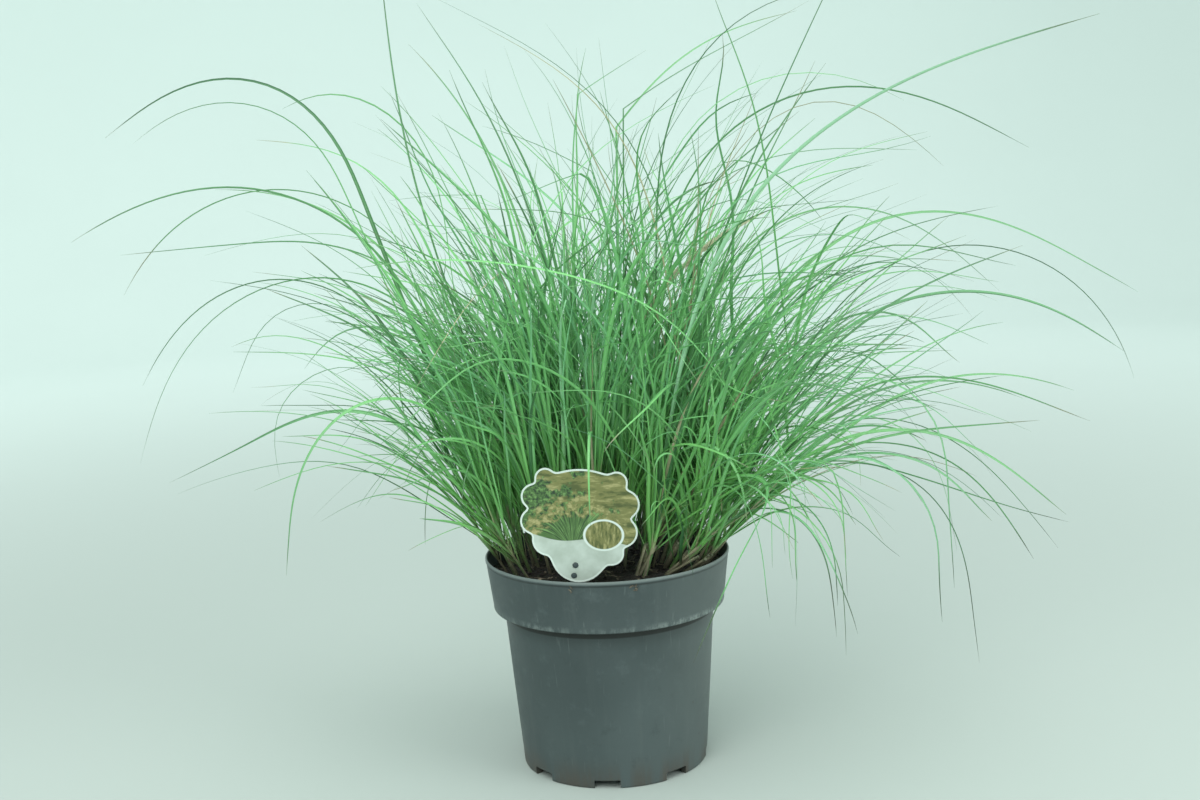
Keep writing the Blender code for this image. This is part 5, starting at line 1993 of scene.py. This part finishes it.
    def build(self, shoots: Sequence[Shoot], effects: Effects) -> list[Piece]:
        """Builds and dresses every shoot.

        Args:
            shoots: The clump's shoots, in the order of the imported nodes.
            effects: The shared shader groups.

        Returns:
            The pieces, one for each shoot.
        """
        finish = BladeFinish().make(effects)
        pieces = []
        for number, shoot in enumerate(shoots, 1):
            strips = StripSet()
            self._add_sheath(strips, shoot)
            self._add_stubs(strips, shoot)
            narrowest = 0.75 if number <= len(LEADING_SHOOTS) else 0.50
            for index, blade in enumerate(shoot.blades):
                pale = (number, index) == self.pale_leaf
                stout = self.pale_stoutness if pale else self.rng.uniform(narrowest, 1.0)
                self._add_leaf(strips, shoot.foot(index), blade, self.blade_width * stout, pale=pale)
            self._add_fine_leaves(strips, shoot, self.straw_leaves if number == self.straw_shoot else 0)
            piece = strips.build(f"grass_shoot_{number:02d}", finish)
            node = f"shoot_{number:02d}"
            self._compare(piece, node)
            add_to_object(piece, Slot.BLADE, node)
            pieces.append(piece)
        return pieces

    def _compare(self, piece: Piece, node: str) -> None:
        """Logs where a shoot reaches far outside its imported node."""
        low, high = np.array(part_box(node))
        corners = np.array([corner[:] for corner in piece.bound_box])
        beyond = float(max(np.max(low - corners.min(axis=0)), np.max(corners.max(axis=0) - high)))
        if beyond > self.far_beyond:
            LOG.warning("%s reaches %.0f mm beyond %s", piece.name, beyond * 1000, node)


@dataclass
class SeedHead:
    """The old flowering stalk with a slender fluffy plume."""

    spikelets: int = 520
    hairs: int = 1500
    spikelet: Point = (0.00035, 0.00095, 0.00018)
    hair: Point = (0.00018, 0.00017, 0.00005)
    stalk: Stalk = STALK
    rng: random.Random = field(default_factory=lambda: random.Random(SEED + 23))

    def build(self, effects: Effects) -> Piece:
        """Builds and dresses the seed head.

        Args:
            effects: The shared shader groups.

        Returns:
            The seed head.
        """
        strips = StripSet()
        path = as_rows(self.stalk.path())
        below = path[0] - (path[1] - path[0]) * 1.2
        line = np.concatenate([[below], path])
        share = np.concatenate([[0.0], np.linspace(0.0, 1.0, len(path))])
        widths = self.stalk.half_width * (1.0 - 0.75 * share)
        dry = np.clip((share - 0.25) / 0.4, 0.1, 1.0)
        strips.add(line, self.stalk.azimuth, widths, 0.0, Across.STEM, 0.3, dry)
        turns = self.stalk.blade().turns()
        for index in range(self.spikelets + self.hairs):
            self._add_fluff(strips, path, turns, index >= self.spikelets)
        piece = strips.build("fluffy_seed_head", PlumeFinish().make(effects))
        add_to_object(piece, Slot.SEED_HEAD, "seed_head")
        return piece

    def _add_fluff(self, strips: StripSet, path: np.ndarray, turns: list[Spot], is_hair: bool) -> None:
        """Adds one spikelet or one hair to the plume."""
        rng = self.rng
        at = rng.uniform(self.stalk.plume_share + 0.005, 0.965)
        step = at * (len(path) - 1)
        before, after = path[int(step):int(step) + 2]
        spot = Vector(before + (after - before) * (step % 1.0))
        azimuth, lean = turns[min(int(step), len(turns) - 1)]
        ahead = direction(azimuth, lean)
        room = max(0.0012, self.stalk.width_at(min(0.99, at + 0.03)))
        long = rng.uniform(0.0045, 0.0085)
        splay = math.degrees(math.asin(min(0.8, room * rng.uniform(0.45, 1.0) / long)))
        axis = ahead.orthogonal()
        axis.rotate(Matrix.Rotation(rng.uniform(0.0, math.tau), 3, ahead))
        way = Matrix.Rotation(math.radians(splay), 3, axis) @ ahead
        onward = Matrix.Rotation(math.radians(-splay * 0.7), 3, axis) @ way
        middle = spot + way * (long * 0.5)
        points = as_rows((spot, middle, middle + onward * (long * 0.5)))
        strips.add(
            points, azimuth + rng.uniform(0, 180), np.array(self.hair if is_hair else self.spikelet),
            rng.uniform(0, 180), Across.THIN, rng.uniform(0.5, 1.0) if is_hair else rng.uniform(0.0, 0.55),
            rng.uniform(0.75, 1.0),
        )


@dataclass
class Studio:
    """The pale seamless floor, the soft lights and the camera at the photograph's angle."""

    camera_place: Point = (0.0, -1.30, 0.521)
    camera_tilt: float = 81.05
    camera_roll: float = -2.62
    lens: float = 46.2
    floor_radius: float = 3.4
    wall_radius: float = 1.6
    wall_steps: int = 10
    world: Colour = (0.86, 1.0, 0.965)
    world_strength: float = 1.05
    middle: Point = (0.0, 0.0, 0.25)

    def _floor(self) -> None:
        """A wide disc that curves up into a low round wall, the backdrop of the photograph's view."""
        rings = [(self.floor_radius, 0.0)]
        for step in range(1, self.wall_steps + 1):
            angle = math.radians(90.0 * step / self.wall_steps)
            rise = self.wall_radius * (1.0 - math.cos(angle))
            rings.append((self.floor_radius + self.wall_radius * math.sin(angle), rise))
        piece = add_ring("studio_floor", 96, *rings[0], fill="NGON")
        with editing(piece) as shape:
            select_where(shape.edges, lambda edge: True)
            extrude_rings(rings)
        smooth(piece, 60.0)
        dress(piece, StudioFinish().make())

    def _light(self, name: str, place: Point, size: float, power: float, colour: Colour) -> None:
        """A soft square light that points at the middle of the plant."""
        data = bpy.data.lights.new(name, "AREA")
        data.size = size
        data.energy = power
        data.color = colour
        light = bpy.data.objects.new(name, data)
        bpy.context.scene.collection.objects.link(light)
        light.location = place
        light.rotation_euler = (Vector(place) - Vector(self.middle)).to_track_quat("Z", "Y").to_euler()

    def _camera(self) -> None:
        """The camera, placed as it was fitted to the photograph."""
        data = bpy.data.cameras.new("camera")
        data.lens = self.lens
        data.sensor_width = 36.0
        data.sensor_fit = "HORIZONTAL"
        data.clip_start = 0.05
        camera = bpy.data.objects.new("camera", data)
        bpy.context.scene.collection.objects.link(camera)
        tilt = Matrix.Rotation(math.radians(self.camera_tilt), 4, "X")
        roll = Matrix.Rotation(math.radians(self.camera_roll), 4, "Z")
        camera.matrix_world = Matrix.Translation(self.camera_place) @ tilt @ roll
        bpy.context.scene.camera = camera

    def build(self) -> None:
        """Builds the floor, the lights, the sky and the camera."""
        self._floor()
        self._light("overhead", (0.0, -0.3, 2.4), 2.0, 20.0, (1.0, 1.0, 0.98))
        self._light("front", (-0.8, -2.1, 2.1), 1.8, 46.0, (1.0, 1.0, 0.97))
        self._light("right", (2.0, -1.2, 1.2), 1.4, 26.0, (0.98, 1.0, 0.98))
        world = bpy.data.worlds.new("studio_sky")
        bpy.context.scene.world = world
        world.use_nodes = True
        background = world.node_tree.nodes["Background"]
        background.inputs["Color"].default_value = (*self.world, 1.0)
        background.inputs["Strength"].default_value = self.world_strength
        bpy.context.scene.view_settings.view_transform = "Standard"
        self._camera()


def main() -> None:
    """Builds every piece of the potted miscanthus and the studio round it."""
    logging.basicConfig(level=logging.INFO, format="%(name)s: %(message)s")
    deselect_all()
    effects = Effects()
    Pot().build(effects)
    Soil().build()
    LABEL.build_card(effects)
    LABEL.build_stake(effects)
    SeedHead().build(effects)
    pieces = Foliage().build(Clump().shoots(), effects)
    LOG.info("%d shoots", len(pieces))
    Studio().build()


if __name__ == "__main__":
    main()
